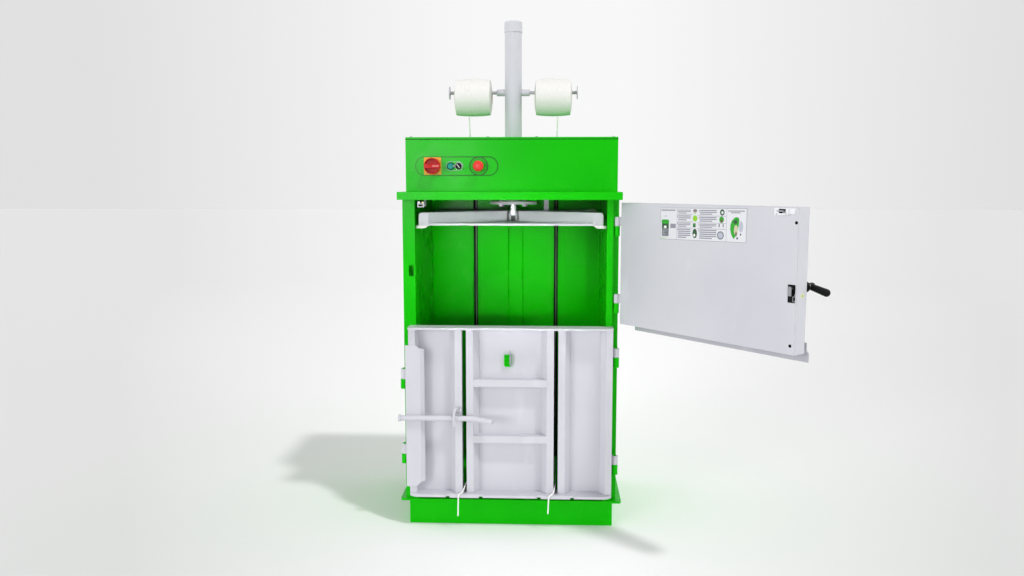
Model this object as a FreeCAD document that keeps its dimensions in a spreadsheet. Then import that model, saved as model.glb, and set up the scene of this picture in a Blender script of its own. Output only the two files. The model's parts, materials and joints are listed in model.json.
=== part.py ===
import FreeCAD, Part
import math
import os
import Sketcher

# Small vertical recycling baler. Millimetres, +Z up, front towards -Y.
# Origin: the press axis (axis of the cylinder) at floor level.

doc = FreeCAD.newDocument("baler")
sheet = doc.addObject("Spreadsheet::Sheet", "sizes")

DRIVING_SIZES = [
    # frame and bale chamber
    ("post_width", 45, "width of a post's face"),
    ("chamber_width", 710, "inside width of the bale chamber"),
    ("chamber_depth", 500, "inside depth of the bale chamber"),
    ("rear_depth", 50, "from the chamber's back wall to the rear of the frame"),
    ("wall_sheet", 3, "sheet of the walls, roof tray and box"),
    ("post_depth", 45, "depth of a folded front or rear post"),
    ("hinge_recess_width", 22, "step in the hinge-side post that takes the hinges"),
    ("hinge_recess_depth", 22, "how far that step lies behind the post's face"),
    ("plinth_inset", 13.5, "plinth inside the posts' outer sides"),
    ("plinth_height", 91, "floor to the top of the plinth"),
    ("plinth_sheet", 4, "sheet of the plinth"),
    ("plinth_flange", 40, "inward foot flange of the plinth"),
    ("anchor_inset", 22.5, "plinth side to the floor fixing holes"),
    ("anchor_spacing_y", 450, "floor fixing holes, front to back"),
    ("anchor_hole_r", 7, "radius of a floor fixing hole"),
    ("floor_plate_side", 20, "floor plate beyond the posts"),
    ("floor_plate_thick", 8, "thickness of that plate"),
    ("floor_plate_front", 10, "how far it stands out in front of the posts"),
    ("chamber_floor_z", 130, "top of the chamber floor above the ground"),
    ("floor_sheet", 5, "sheet of the chamber floor"),
    ("groove_width", 20, "strap groove in the chamber floor"),
    ("groove_depth", 15, "depth of that groove"),
    ("strap_x", 171, "centre plane to each strap's plane"),
    ("back_slot_width", 18, "strap slot in the back wall"),
    ("back_return", 22, "backward fold beside each slot"),
    ("channel_width", 50, "strap channel behind a slot, over its legs"),
    ("bead_width", 66, "stiffening bead in the middle of the back wall"),
    ("bead_height", 6, "how far the bead stands into the chamber"),
    ("wall_top_z", 1239, "top of the walls, underside of the roof"),
    ("stiffener_height", 60, "outside stiffener of a side wall, seen from the side"),
    ("stiffener_depth", 30, "how far a stiffener stands out of the sheet"),
    ("keeper_inset", 30, "post's outer side to the latch keeper slot"),
    ("keeper_width", 18, "width of the keeper slot"),
    ("keeper_low_z", 955, "lower end of the keeper slot"),
    ("keeper_high_z", 994, "upper end of the keeper slot"),
    # roof, header ledge and control box
    ("roof_thick", 12, "roof plate that carries the cylinder"),
    ("ledge_side", 3, "header ledge beyond the posts"),
    ("ledge_height", 28, "height of the header ledge"),
    ("ledge_overhang", 100, "header ledge in front of the posts"),
    ("box_inset", 3, "control box inside the posts' outer sides"),
    ("box_height", 199, "control box above the ledge"),
    ("box_setback", 72, "control box front behind the posts' face"),
    ("lid_flange", 8, "down-turned edge of the box lid"),
    ("control_height", 94.5, "ledge to the row of controls"),
    # hydraulic cylinder
    ("tube_r", 33, "outside radius of the cylinder tube"),
    ("tube_wall", 5, "wall of the cylinder tube"),
    ("tube_top_z", 1875, "top of the tube, foot of its cap"),
    ("cap_r", 35, "radius of the cylinder cap"),
    ("cap_height", 41, "height of the cylinder cap"),
    ("flange_r", 92.5, "radius of the cylinder's foot flange"),
    ("flange_thick", 11, "thickness of that flange"),
    ("flange_drop", 12, "neck between flange and roof"),
    ("neck_r", 45, "radius of that neck"),
    ("flange_bolt_pcd", 130, "pitch circle of the flange bolts"),
    ("flange_bolt_r", 6, "radius of a flange bolt's shank"),
    ("flange_bolt_head_r", 9.5, "across-corner radius of its head"),
    ("flange_bolt_head", 8, "height of its head"),
    ("rod_r", 21, "radius of the piston rod"),
    ("running_fit", 0.05, "radial clearance of rods, pins and buttons"),
    ("piston_height", 40, "height of the piston"),
    ("piston_top_gap", 25, "piston to the cap with the platen up"),
    # strap rolls and their arms
    ("arm_z", 1647.5, "height of the two roll arms"),
    ("arm_boss_r", 13, "radius of the boss welded to the tube"),
    ("arm_boss_end", 64, "centre plane to the end of the boss"),
    ("arm_r", 6.5, "radius of the arm's rod"),
    ("arm_end", 250, "centre plane to the arm's end disc"),
    ("arm_disc_r", 25, "radius of the end disc"),
    ("arm_disc_thick", 3, "thickness of the end disc"),
    ("roll_r", 72.5, "radius of a strap roll at its middle"),
    ("roll_core_r", 25, "radius of the hole in its core"),
    ("roll_near_x", 83, "centre plane to the roll's near end"),
    ("roll_width", 145, "width of a roll"),
    ("roll_crown", 4.5, "how much less its radius is at its ends"),
    ("roll_bulge", 6, "how far its ends swell out round the core"),
    # platen
    ("platen_gap_x", 13, "platen to the chamber's side wall"),
    ("platen_gap_y", 15, "platen to the posts' face plane and back wall"),
    ("platen_drop", 97, "roof to the underside of the platen plate"),
    ("platen_plate", 8, "thickness of the plate"),
    ("platen_lip", 3, "fold line inside the plate's edge"),
    ("platen_rib_height", 40, "height of the diagonal ribs"),
    ("platen_rib_width", 40, "width of a diagonal rib"),
    ("platen_rib_sheet", 4, "sheet of the ribs"),
    ("shoe_length", 44, "guide shoe, left to right"),
    ("shoe_depth", 50, "guide shoe, front to back"),
    ("shoe_thick", 10, "guide shoe below the plate"),
    ("shoe_wall_gap", 2, "guide shoe to the chamber's side wall"),
    ("ear_thick", 8, "an ear of the rod's clevis"),
    ("tongue_thick", 18, "tongue at the rod's end"),
    ("clevis_pin_r", 8, "pin through tongue and ears"),
    # upper door, measured from its hinge axis in the shut position
    ("hinge_inset", 7.5, "post's outer side to the right-hand hinge axes"),
    ("door_open_angle", 128.75, "how far the upper door stands open"),
    ("upper_door_inset", 13, "its free edge inside the post's outer side"),
    ("door_between_gap", 12, "lower door's top to the upper door"),
    ("door_top_gap", 11.5, "upper door to the header ledge"),
    ("upper_door_thick", 60, "thickness of the upper door"),
    ("upper_door_gap", 3, "upper door's inner face to the posts"),
    ("upper_door_edge", 17.5, "hinge axis to the door's edge"),
    ("door_sheet", 2, "sheet of the upper door"),
    ("door_bend", 14, "rounding of the door's outer upright edges"),
    ("lip_sheet", 3, "strip under the upper door"),
    ("lip_drop", 30, "how far the strip hangs below the door"),
    ("lip_stand_off", 11, "how far the strip stands off the door's outer face"),
    ("spindle_drop", 9, "keeper slot's upper end to the handle's spindle"),
    ("spindle_r", 5, "radius of the spindle"),
    ("handle_angle", 14, "droop of the handle in its open position"),
    ("grip_length", 72, "spindle to the handle's tip"),
    ("switch_inset", 20, "chamber side to the interlock"),
    ("switch_drop", 23, "roof to the interlock's slot"),
    # hinges
    ("upper_knuckle_r", 9.5, "hinge knuckle of the upper door"),
    ("lower_knuckle_r", 11.5, "hinge knuckle of the lower door"),
    ("clamp_knuckle_r", 12, "hinge knuckle of the clamp bar"),
    ("hinge_pin_r", 4, "pin of the upper door's hinges"),
    ("heavy_pin_r", 6, "pin of the lower door's and clamp bar's hinges"),
    ("knuckle_gap", 0.3, "gap between a hinge's two knuckles"),
    ("upper_eye_low_z", 858, "lower eye of the upper door"),
    ("upper_eye_high_z", 1142.3, "upper eye of the upper door"),
    ("upper_eye_height", 33, "height of these eyes"),
    ("upper_pintle_height", 36.5, "height of the fixed halves below them"),
    ("lower_eye_low_z", 249, "lower eye of the lower door"),
    ("lower_eye_high_z", 658, "upper eye of the lower door"),
    ("lower_eye_height", 33, "height of these eyes"),
    ("lower_pintle_height", 38, "height of the fixed halves below them"),
    ("clamp_eye_low_z", 286.3, "lower eye of the clamp bar"),
    ("clamp_eye_high_z", 573, "upper eye of the clamp bar"),
    ("clamp_eye_height", 37.7, "height of these eyes"),
    ("clamp_pintle_height", 37, "height of the fixed halves below them"),
    # lower door
    ("lower_hinge_y", 20, "lower door's hinge axis in front of the posts' face"),
    ("lower_door_inset", 22.5, "its free edge inside the post's outer side"),
    ("lower_door_hinge_gap", 13, "its other edge to the hinge axis"),
    ("lower_door_gap", 2, "its inner face to the posts' face"),
    ("lower_door_sheet", 5, "its inner sheet"),
    ("lower_door_rib", 39, "its ribs in front of the inner sheet"),
    ("rib_sheet", 4, "sheet of its ribs"),
    ("rail_overhang", 20, "its top and bottom rails in front of the ribs"),
    ("door_slot_width", 16, "strap slot in the lower door"),
    ("rib_face", 26, "flat face of a slot rib"),
    ("rib_slope", 20, "sloped side of a slot rib"),
    ("lower_door_low_z", 126, "underside of the bottom rail"),
    ("bottom_rail_thick", 10, "bottom rail"),
    ("top_rail_z", 762, "underside of the top rail"),
    ("top_rail_thick", 8, "top rail"),
    ("rail_corner_run", 35.5, "length of the bottom rail's rounded corner"),
    ("cross_rib_height", 27.5, "a level rib between the slots"),
    ("cross_rib_low_z", 331.5, "underside of the lower level rib"),
    ("cross_rib_pitch", 214, "from one level rib to the other"),
    ("guide_half", 69, "half the width of a strap guide"),
    ("guide_notch", 14, "notch at each end of a strap guide"),
    # clamp bar, lever and catch
    ("clamp_hinge_inset", 3, "post's outer side to the clamp bar's hinge axis"),
    ("clamp_hinge_y", 35, "that axis in front of the posts' face"),
    ("clamp_low_z", 162, "lower end of the clamp bar"),
    ("clamp_high_z", 701, "upper end of the clamp bar"),
    ("clamp_left", 8, "hinge axis to the clamp bar's left edge"),
    ("clamp_face", 55, "flat face of the clamp bar"),
    ("clamp_slope", 15, "bent edge of the clamp bar"),
    ("clamp_corner", 19, "cut corner of the clamp bar"),
    ("clamp_sheet", 5, "sheet of the clamp bar"),
    ("clamp_rib_gap", 1, "clamp bar to the door's edge rib"),
    ("lever_z", 429, "height of the locking lever"),
    ("lever_r", 10, "radius of the lever's bar"),
    ("catch_x", 193, "centre plane to the catch hook"),
    ("catch_z", 458, "height of the catch's pin"),
    ("catch_pin_r", 4, "radius of the catch's pin"),
    ("catch_bar_r", 4, "radius of the hook's bar"),
    # controls
    ("switch_x", 295, "centre plane to the main switch"),
    ("switch_plate", 65, "side of the main switch's plate"),
    ("button_x", 227.5, "centre plane to the start button"),
    ("selector_x", 197.5, "centre plane to the selector"),
    ("stop_x", 122, "centre plane to the emergency stop"),
    ("button_hole_r", 11, "bore of a control's bezel"),
    ("bezel_r", 14.5, "outside radius of a bezel"),
    ("bezel_height", 5, "bezel in front of the box"),
    ("stop_head_r", 20, "radius of the emergency stop's head"),
    # strap
    ("strap_d", 5, "diameter of the strap as a round cord"),
]


class Size:
    """A length that knows both its value and the formula that ties it to the sheet."""

    def __init__(self, value, formula):
        self.value = value
        self.formula = formula

    def __float__(self):
        return float(self.value)

    def __neg__(self):
        return Size(-self.value, f"(-1 * {self.formula})")

    def __add__(self, other):
        return combine(self, "+", other, float(self) + float(other))

    def __radd__(self, other):
        return combine(other, "+", self, float(other) + float(self))

    def __sub__(self, other):
        return combine(self, "-", other, float(self) - float(other))

    def __rsub__(self, other):
        return combine(other, "-", self, float(other) - float(self))

    def __mul__(self, other):
        return combine(self, "*", other, float(self) * float(other))

    __rmul__ = __mul__

    def __truediv__(self, other):
        return combine(self, "/", other, float(self) / float(other))


def formula_of(item):
    return item.formula if isinstance(item, Size) else f"({float(item):.9g})"


def combine(left, sign, right, value):
    return Size(value, f"({formula_of(left)} {sign} {formula_of(right)})")


class Sizes:
    """The sheet's sizes, one attribute for each."""


d = Sizes()
for row, (alias, value, note) in enumerate(DRIVING_SIZES, start=1):
    sheet.set(f"A{row}", note)
    sheet.set(f"B{row}", str(value))
    sheet.setAlias(f"B{row}", alias)
    setattr(d, alias, Size(float(value), f"sizes.{alias}"))
doc.recompute()

# ---------------------------------------------------------------- shape helpers

nodes = []
PLANE_AXES = {"XY_Plane": "z", "XZ_Plane": "y", "YZ_Plane": "x"}


def bind(item, path, size):
    """Ties a property to the sheet, or sets it where the size is a plain number."""
    item.setExpression(path, formula_of(size))


def node(item, label):
    """Marks an object as a sub-part: its label names its file."""
    item.Label = label
    nodes.append(item)
    return item


def body(name, x=0.0, y=0.0, z=0.0, turn=0.0):
    """A body placed at x, y, z and turned about the upright axis."""
    made = doc.addObject("PartDesign::Body", name)
    for letter, size in (("x", x), ("y", y), ("z", z)):
        if isinstance(size, Size) or size:
            bind(made, f"Placement.Base.{letter}", size)
    if isinstance(turn, Size) or turn:
        made.Placement = FreeCAD.Placement(made.Placement.Base, FreeCAD.Rotation(UP, float(turn)))
        bind(made, "Placement.Rotation.Angle", turn)
    return made


UP = FreeCAD.Vector(0, 0, 1)


def sketch_in(owner, plane, level):
    """A sketch on one of the body's own planes, moved to the given level along its axis."""
    sketch = owner.newObject("Sketcher::SketchObject", owner.Name + "_sketch")
    base = next(f for f in owner.Origin.OriginFeatures if f.Role == plane)
    sketch.AttachmentSupport = (base, [""])
    sketch.MapMode = "FlatFace"
    shift = -level if plane == "XZ_Plane" else level
    bind(sketch, "AttachmentOffset.Base.z", shift)
    return sketch


def pin_point(sketch, geometry, end, x, y):
    for kind, size in (("DistanceX", x), ("DistanceY", y)):
        index = sketch.addConstraint(
            Sketcher.Constraint(kind, -1, 1, geometry, end, float(size)))
        if isinstance(size, Size):
            sketch.setExpression(f"Constraints[{index}]", size.formula)


def arc_between(start, end, radius):
    """The short arc from start to end; a positive radius has its centre on the left."""
    chord = end - start
    half = chord.Length / 2
    left = FreeCAD.Vector(-chord.y, chord.x, 0).normalize()
    side = 1 if radius > 0 else -1
    rise = math.sqrt(max(radius * radius - half * half, 0))
    centre = (start + end) * 0.5 + left * (side * rise)
    first, last = (start, end) if side > 0 else (end, start)
    angle_0 = math.atan2(first.y - centre.y, first.x - centre.x)
    angle_1 = math.atan2(last.y - centre.y, last.x - centre.x)
    if angle_1 < angle_0:
        angle_1 += 2 * math.pi
    circle = Part.Circle(centre, UP, abs(radius))
    return Part.ArcOfCircle(circle, angle_0, angle_1), side


def draw_outline(sketch, corners):
    """A closed outline. A corner is (x, y), or (x, y, radius) where an arc runs to the next."""
    count = len(corners)
    points = [FreeCAD.Vector(float(c[0]), float(c[1]), 0) for c in corners]
    ends = []
    for i, corner in enumerate(corners):
        start, end = points[i], points[(i + 1) % count]
        if len(corner) == 2:
            index = sketch.addGeometry(Part.LineSegment(start, end))
            ends.append((index, 1, 2))
        else:
            arc, side = arc_between(start, end, float(corner[2]))
            index = sketch.addGeometry(arc)
            ends.append((index, 1, 2) if side > 0 else (index, 2, 1))
            radius = corner[2] if side > 0 else -corner[2]
            kept = sketch.addConstraint(Sketcher.Constraint("Radius", index, float(radius)))
            if isinstance(radius, Size):
                sketch.setExpression(f"Constraints[{kept}]", radius.formula)
    for i in range(count):
        index, _, last = ends[i]
        following, first, _ = ends[(i + 1) % count]
        sketch.addConstraint(Sketcher.Constraint("Coincident", index, last, following, first))
    for i, corner in enumerate(corners):
        index, first, _ = ends[i]
        pin_point(sketch, index, first, corner[0], corner[1])


def draw_circle(sketch, x, y, radius):
    centre = FreeCAD.Vector(float(x), float(y), 0)
    index = sketch.addGeometry(Part.Circle(centre, UP, float(radius)))
    pin_point(sketch, index, 3, x, y)
    kept = sketch.addConstraint(Sketcher.Constraint("Radius", index, float(radius)))
    if isinstance(radius, Size):
        sketch.setExpression(f"Constraints[{kept}]", radius.formula)


def draw(sketch, outlines):
    """Draws each outline: a list of corners, or a circle as (x, y, radius)."""
    for outline in outlines:
        if isinstance(outline, tuple):
            draw_circle(sketch, *outline)
        else:
            draw_outline(sketch, outline)


def rectangle(x0, x1, y0, y1):
    return [(x0, y0), (x1, y0), (x1, y1), (x0, y1)]


def pad(owner, plane, low, high, *outlines):
    """Material between two levels of the plane's axis; inner outlines are holes."""
    level = high if plane == "XZ_Plane" else low
    sketch = sketch_in(owner, plane, level)
    draw(sketch, outlines)
    made = owner.newObject("PartDesign::Pad", owner.Name + "_pad")
    made.Profile = sketch
    bind(made, "Length", high - low)
    owner.Tip = made
    return made


def pocket(owner, plane, low, high, *outlines):
    """A cut between two levels of the plane's axis."""
    before = owner.Tip
    level = low if plane == "XZ_Plane" else high
    sketch = sketch_in(owner, plane, level)
    draw(sketch, outlines)
    made = owner.newObject("PartDesign::Pocket", owner.Name + "_pocket")
    made.Profile = sketch
    bind(made, "Length", high - low)
    owner.Tip = made
    doc.recompute()
    if made.Shape.Volume > before.Shape.Volume - 1e-3:
        raise ValueError(f"{owner.Name}: a pocket cuts nothing")
    return made


def revolve(owner, plane, axis, *outlines):
    """A full turn of an outline about the sketch's own H_Axis or V_Axis."""
    sketch = sketch_in(owner, plane, 0.0)
    draw(sketch, outlines)
    made = owner.newObject("PartDesign::Revolution", owner.Name + "_turn")
    made.Profile = sketch
    made.ReferenceAxis = (sketch, [axis])
    made.Angle = 360
    owner.Tip = made
    return made


def loft(owner, kind, plane, *sections):
    """A loft through outlines at their levels: sections are (level, outline)."""
    sketches = []
    for level, outline in sections:
        sketch = sketch_in(owner, plane, level)
        draw(sketch, [outline])
        sketches.append(sketch)
    made = owner.newObject(kind, owner.Name + "_loft")
    made.Profile = sketches[0]
    made.Sections = sketches[1:]
    made.Ruled = True
    owner.Tip = made
    return made


def folded(path, thickness):
    """The closed outline of a folded sheet whose one face follows the path, material on its left."""
    points = [(float(x), float(y)) for x, y in path]
    normals = []
    for (x0, y0), (x1, y1) in zip(points, points[1:]):
        length = math.hypot(x1 - x0, y1 - y0)
        normals.append(((y0 - y1) / length, (x1 - x0) / length))
    inner = []
    for i, (x, y) in enumerate(path):
        before = normals[max(i - 1, 0)]
        after = normals[min(i, len(normals) - 1)]
        share = 1 + before[0] * after[0] + before[1] * after[1]
        step_x = (before[0] + after[0]) / share
        step_y = (before[1] + after[1]) / share
        inner.append((x + thickness * step_x, y + thickness * step_y))
    return list(path) + inner[::-1]


def flip(outline):
    """The outline mirrored about its own vertical axis."""
    mirrored = []
    for corner in outline[::-1]:
        mirrored.append((-corner[0], corner[1]))
    return mirrored


def mirrored_pair(label, source, normal=(1, 0, 0)):
    """The source and its mirror image about the centre plane, as one group of solids."""
    copy = doc.addObject("Part::Mirroring", label + "_mirror")
    copy.Source = source
    copy.Normal = FreeCAD.Vector(*normal)
    return group(label, [source, copy])


def group(label, members):
    """Separate solids that share one node."""
    made = doc.addObject("Part::Compound", label + "_group")
    made.Links = members
    return made


def rounded_wire(points, radii=None):
    """Straight runs joined by tangent arcs; without radii each arc is as large as its runs allow."""
    route = [FreeCAD.Vector(*[float(v) for v in p]) for p in points]
    edges = []
    used = []
    length = 0.0
    start = route[0]
    for i in range(1, len(route) - 1):
        back = route[i - 1] - route[i]
        ahead = route[i + 1] - route[i]
        turn = math.pi - back.getAngle(ahead)
        half = math.tan(turn / 2)
        radius = radii[i - 1] if radii else 0.45 * min(back.Length, ahead.Length) / half
        reach = radius * half
        first = route[i] + back.normalize() * reach
        last = route[i] + ahead.normalize() * reach
        bisector = (back + ahead).normalize()
        middle = route[i] + bisector * (radius / math.cos(turn / 2) - radius)
        edges.append(Part.LineSegment(start, first).toShape())
        edges.append(Part.Arc(first, middle, last).toShape())
        length += (first - start).Length + radius * turn
        used.append(radius)
        start = last
    edges.append(Part.LineSegment(start, route[-1]).toShape())
    length += (route[-1] - start).Length
    return Part.Wire(edges), length, used


def bar_along(points, radius, radii=None):
    """A round bar swept along the rounded wire."""
    wire, length, used = rounded_wire(points, radii)
    start = wire.Edges[0]
    tangent = start.tangentAt(start.FirstParameter)
    section = Part.Wire(Part.makeCircle(float(radius), wire.Vertexes[0].Point, tangent))
    shell = Part.BRepOffsetAPI.MakePipeShell(wire)
    shell.add(section)
    shell.build()
    shell.makeSolid()
    return shell.shape(), length, used


def shaped(label, shape):
    made = doc.addObject("Part::Feature", label)
    made.Shape = shape
    return made


# ---------------------------------------------------------------- common planes

front_y = -d.chamber_depth / 2
back_y = d.chamber_depth / 2
rear_y = back_y + d.rear_depth
floor_plate_z = d.plinth_height + d.floor_plate_thick
half_chamber = d.chamber_width / 2
half_machine = half_chamber + d.post_width
keeper_x = half_machine - d.keeper_inset
hinge_x = half_machine - d.hinge_inset
clamp_hinge_x = half_machine - d.clamp_hinge_inset
ledge_top_z = d.wall_top_z + d.ledge_height
box_front_y = front_y + d.box_setback
box_top_z = ledge_top_z + d.box_height
control_z = ledge_top_z + d.control_height
platen_bottom_z = d.wall_top_z - d.platen_drop
piston_top_z = d.tube_top_z - d.piston_top_gap
lower_door_top_z = d.top_rail_z + d.top_rail_thick
upper_door_low_z = lower_door_top_z + d.door_between_gap
upper_door_top_z = d.wall_top_z - d.door_top_gap
lower_door_right = hinge_x - d.lower_door_hinge_gap
spindle_z = d.keeper_high_z - d.spindle_drop
key_z = d.wall_top_z - d.switch_drop

# ---------------------------------------------------------------- plinth and floor

plinth = node(body("plinth"), "base_plinth")
half_plinth = half_machine - d.plinth_inset
anchor_x = half_plinth - d.anchor_inset
pad(plinth, "XY_Plane", 0.0, d.plinth_height,
    rectangle(-half_plinth, half_plinth, front_y, rear_y),
    rectangle(-half_plinth + d.plinth_sheet, half_plinth - d.plinth_sheet,
              front_y + d.plinth_sheet, rear_y - d.plinth_sheet))
pad(plinth, "XY_Plane", 0.0, d.plinth_sheet,
    rectangle(-half_plinth, half_plinth, front_y, rear_y),
    rectangle(-half_plinth + d.plinth_flange, half_plinth - d.plinth_flange,
              front_y + d.plinth_flange, rear_y - d.plinth_flange))
pocket(plinth, "XY_Plane", 0.0, d.plinth_sheet,
       *[(side_x * anchor_x, side_y * d.anchor_spacing_y / 2, d.anchor_hole_r)
         for side_x in (-1, 1) for side_y in (-1, 1)])

floor_plate = node(body("floor_base"), "floor_plate")
half_plate = half_machine + d.floor_plate_side
plate_front = front_y - d.floor_plate_front
CORNER_CUT = 12
pad(floor_plate, "XY_Plane", d.plinth_height, floor_plate_z,
    [(-half_plate + CORNER_CUT, plate_front), (half_plate - CORNER_CUT, plate_front, CORNER_CUT),
     (half_plate, plate_front + CORNER_CUT), (half_plate, rear_y), (-half_plate, rear_y),
     (-half_plate, plate_front + CORNER_CUT, CORNER_CUT)])

chamber_floor = node(body("floor_pan"), "chamber_floor")
groove_side = d.groove_width / 2
groove_z = d.chamber_floor_z - d.groove_depth
floor_path = [
    (half_chamber, floor_plate_z), (half_chamber, d.chamber_floor_z),
    (d.strap_x + groove_side, d.chamber_floor_z), (d.strap_x + groove_side, groove_z),
    (d.strap_x - groove_side, groove_z), (d.strap_x - groove_side, d.chamber_floor_z)]
floor_path += [(-x, z) for x, z in floor_path[::-1]]
pad(chamber_floor, "XZ_Plane", front_y, back_y, folded(floor_path, d.floor_sheet))

half_bead = d.bead_width / 2
pocket(chamber_floor, "XY_Plane", groove_z, d.chamber_floor_z,
       rectangle(-half_bead, half_bead, back_y - d.bead_height, back_y))

# ---------------------------------------------------------------- side walls


SEAM = 1


def side_wall(name, side, recessed):
    """A folded wall: a box post at the front and rear, one sheet between, stiffeners outside."""
    wall = body(name)
    inner_x = half_chamber
    outer_x = half_machine
    sheet_t = d.wall_sheet
    post_back = front_y + d.post_depth
    if recessed:
        step_x = outer_x - d.hinge_recess_width
        front_path = [(step_x, front_y), (step_x, front_y + d.hinge_recess_depth),
                      (outer_x, front_y + d.hinge_recess_depth)]
    else:
        front_path = [(outer_x, front_y)]
    path = [(inner_x + sheet_t + SEAM, post_back), (outer_x, post_back)]
    path += front_path[::-1]
    path += [(inner_x, front_y), (inner_x, rear_y), (outer_x, rear_y),
             (outer_x, rear_y - d.post_depth), (inner_x + sheet_t + SEAM, rear_y - d.post_depth)]
    outline = folded(path, -sheet_t)
    if side < 0:
        outline = flip(outline)
    pad(wall, "XY_Plane", floor_plate_z, d.wall_top_z, outline)
    rib_in = side * (inner_x + sheet_t)
    rib_out = side * (inner_x + sheet_t + d.stiffener_depth)
    for share in (0.25, 0.5, 0.75):
        middle = floor_plate_z + (d.wall_top_z - floor_plate_z) * share
        half = d.stiffener_height / 2
        channel_path = [(rib_in, middle + half), (rib_out, middle + half),
                        (rib_out, middle - half), (rib_in, middle - half)]
        pad(wall, "XZ_Plane", post_back, rear_y - d.post_depth, folded(channel_path, -side * sheet_t))
    return wall


right_wall = node(side_wall("wall_right", 1, True), "side_wall_right")
left_wall = node(side_wall("wall_left", -1, False), "side_wall_left")
pocket(left_wall, "XZ_Plane", front_y, front_y + d.wall_sheet,
       rectangle(-keeper_x - d.keeper_width / 2, -keeper_x + d.keeper_width / 2,
                 d.keeper_low_z, d.keeper_high_z))

# ---------------------------------------------------------------- back wall and strap channels

slot_side = d.back_slot_width / 2
centre_edge = d.strap_x - slot_side
side_edge = d.strap_x + slot_side
return_y = back_y + d.wall_sheet + d.back_return
BEAD_SLOPE = 5

centre_panel = node(body("back_centre"), "back_wall_centre")
half_path = [(half_bead - BEAD_SLOPE, back_y - d.bead_height), (half_bead, back_y),
             (centre_edge, back_y), (centre_edge, return_y)]
centre_path = [(-x, y) for x, y in half_path[::-1]] + half_path
pad(centre_panel, "XY_Plane", floor_plate_z, d.wall_top_z, folded(centre_path, d.wall_sheet))

side_panel = body("back_side")
pad(side_panel, "XY_Plane", floor_plate_z, d.wall_top_z,
    folded([(side_edge, return_y), (side_edge, back_y), (half_chamber, back_y)], d.wall_sheet))
node(mirrored_pair("back_wall_sides", side_panel), "back_wall_sides")

channel = body("channel")
channel_side = d.channel_width / 2
channel_back = rear_y - d.wall_sheet
pad(channel, "XY_Plane", floor_plate_z, d.wall_top_z,
    folded([(d.strap_x + channel_side, back_y + d.wall_sheet), (d.strap_x + channel_side, channel_back),
            (d.strap_x - channel_side, channel_back), (d.strap_x - channel_side, back_y + d.wall_sheet)],
           d.wall_sheet))
node(mirrored_pair("strap_channels", channel), "strap_channels")

# ---------------------------------------------------------------- roof, ledge, control box

TUBE_HOLE_GAP = 1
tube_hole = (0.0, 0.0, d.tube_r + TUBE_HOLE_GAP)
strap_hole_y = (back_y + d.wall_sheet + rear_y) / 2
STRAP_HOLE_R = 7
EYELET_Y = 14

roof = node(body("roof"), "roof_plate")
half_roof = half_machine - d.wall_sheet
pad(roof, "XY_Plane", d.wall_top_z, d.wall_top_z + d.roof_thick,
    rectangle(-half_roof, half_roof, front_y, back_y + d.wall_sheet), tube_hole)

ledge = node(body("ledge"), "header_ledge")
half_ledge = half_machine + d.ledge_side
ledge_front = front_y - d.ledge_overhang
pad(ledge, "XY_Plane", d.wall_top_z, ledge_top_z,
    rectangle(-half_ledge, half_ledge, ledge_front, rear_y))
pocket(ledge, "XY_Plane", d.wall_top_z, ledge_top_z - d.wall_sheet,
       rectangle(-half_ledge + d.wall_sheet, half_ledge - d.wall_sheet,
                 ledge_front + d.wall_sheet, rear_y - d.wall_sheet))
pocket(ledge, "XY_Plane", ledge_top_z - d.wall_sheet, ledge_top_z, tube_hole,
       (-d.strap_x, strap_hole_y, STRAP_HOLE_R), (d.strap_x, strap_hole_y, STRAP_HOLE_R))

control_box = node(body("box"), "control_box")
half_box = half_machine - d.box_inset
pad(control_box, "XY_Plane", ledge_top_z, box_top_z,
    rectangle(-half_box, half_box, box_front_y, rear_y),
    rectangle(-half_box + d.wall_sheet, half_box - d.wall_sheet,
              box_front_y + d.wall_sheet, rear_y - d.wall_sheet))
SWITCH_SHAFT_R = 4
pocket(control_box, "XZ_Plane", box_front_y, box_front_y + d.wall_sheet,
       (-d.button_x, control_z, d.button_hole_r), (-d.selector_x, control_z, d.button_hole_r),
       (-d.stop_x, control_z, d.button_hole_r),
       (-d.switch_x, control_z, SWITCH_SHAFT_R + d.running_fit))

lid = node(body("lid"), "control_box_lid")
LID_GAP = 0.5
lid_inset = d.wall_sheet + LID_GAP
lid_top_z = box_top_z + d.wall_sheet
pad(lid, "XY_Plane", box_top_z, lid_top_z, rectangle(-half_box, half_box, box_front_y, rear_y))
flange_x = half_box - lid_inset
flange_in = flange_x - d.wall_sheet
pad(lid, "XY_Plane", box_top_z - d.lid_flange, box_top_z,
    rectangle(-flange_x, flange_x, box_front_y + lid_inset, rear_y - lid_inset),
    rectangle(-flange_in, flange_in, box_front_y + lid_inset + d.wall_sheet,
              rear_y - lid_inset - d.wall_sheet))
pocket(lid, "XY_Plane", box_top_z, lid_top_z, tube_hole,
       (-d.strap_x, EYELET_Y, STRAP_HOLE_R), (d.strap_x, EYELET_Y, STRAP_HOLE_R))

# ---------------------------------------------------------------- cylinder

flange_top = d.wall_top_z - d.flange_drop
flange_low = flange_top - d.flange_thick
bore_r = d.tube_r - d.tube_wall
gland_r = d.rod_r + d.running_fit

flange = node(body("foot_flange"), "cylinder_flange")
revolve(flange, "XZ_Plane", "V_Axis",
        [(gland_r, flange_low), (d.flange_r, flange_low), (d.flange_r, flange_top),
         (d.neck_r, flange_top), (d.neck_r, d.wall_top_z), (gland_r, d.wall_top_z)])
bolt_side = d.flange_bolt_pcd / 2 * math.cos(math.radians(45))
pocket(flange, "XY_Plane", flange_low, flange_top,
       *[(side_x * bolt_side, side_y * bolt_side, d.flange_bolt_r + d.running_fit)
         for side_x in (-1, 1) for side_y in (-1, 1)])

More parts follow.
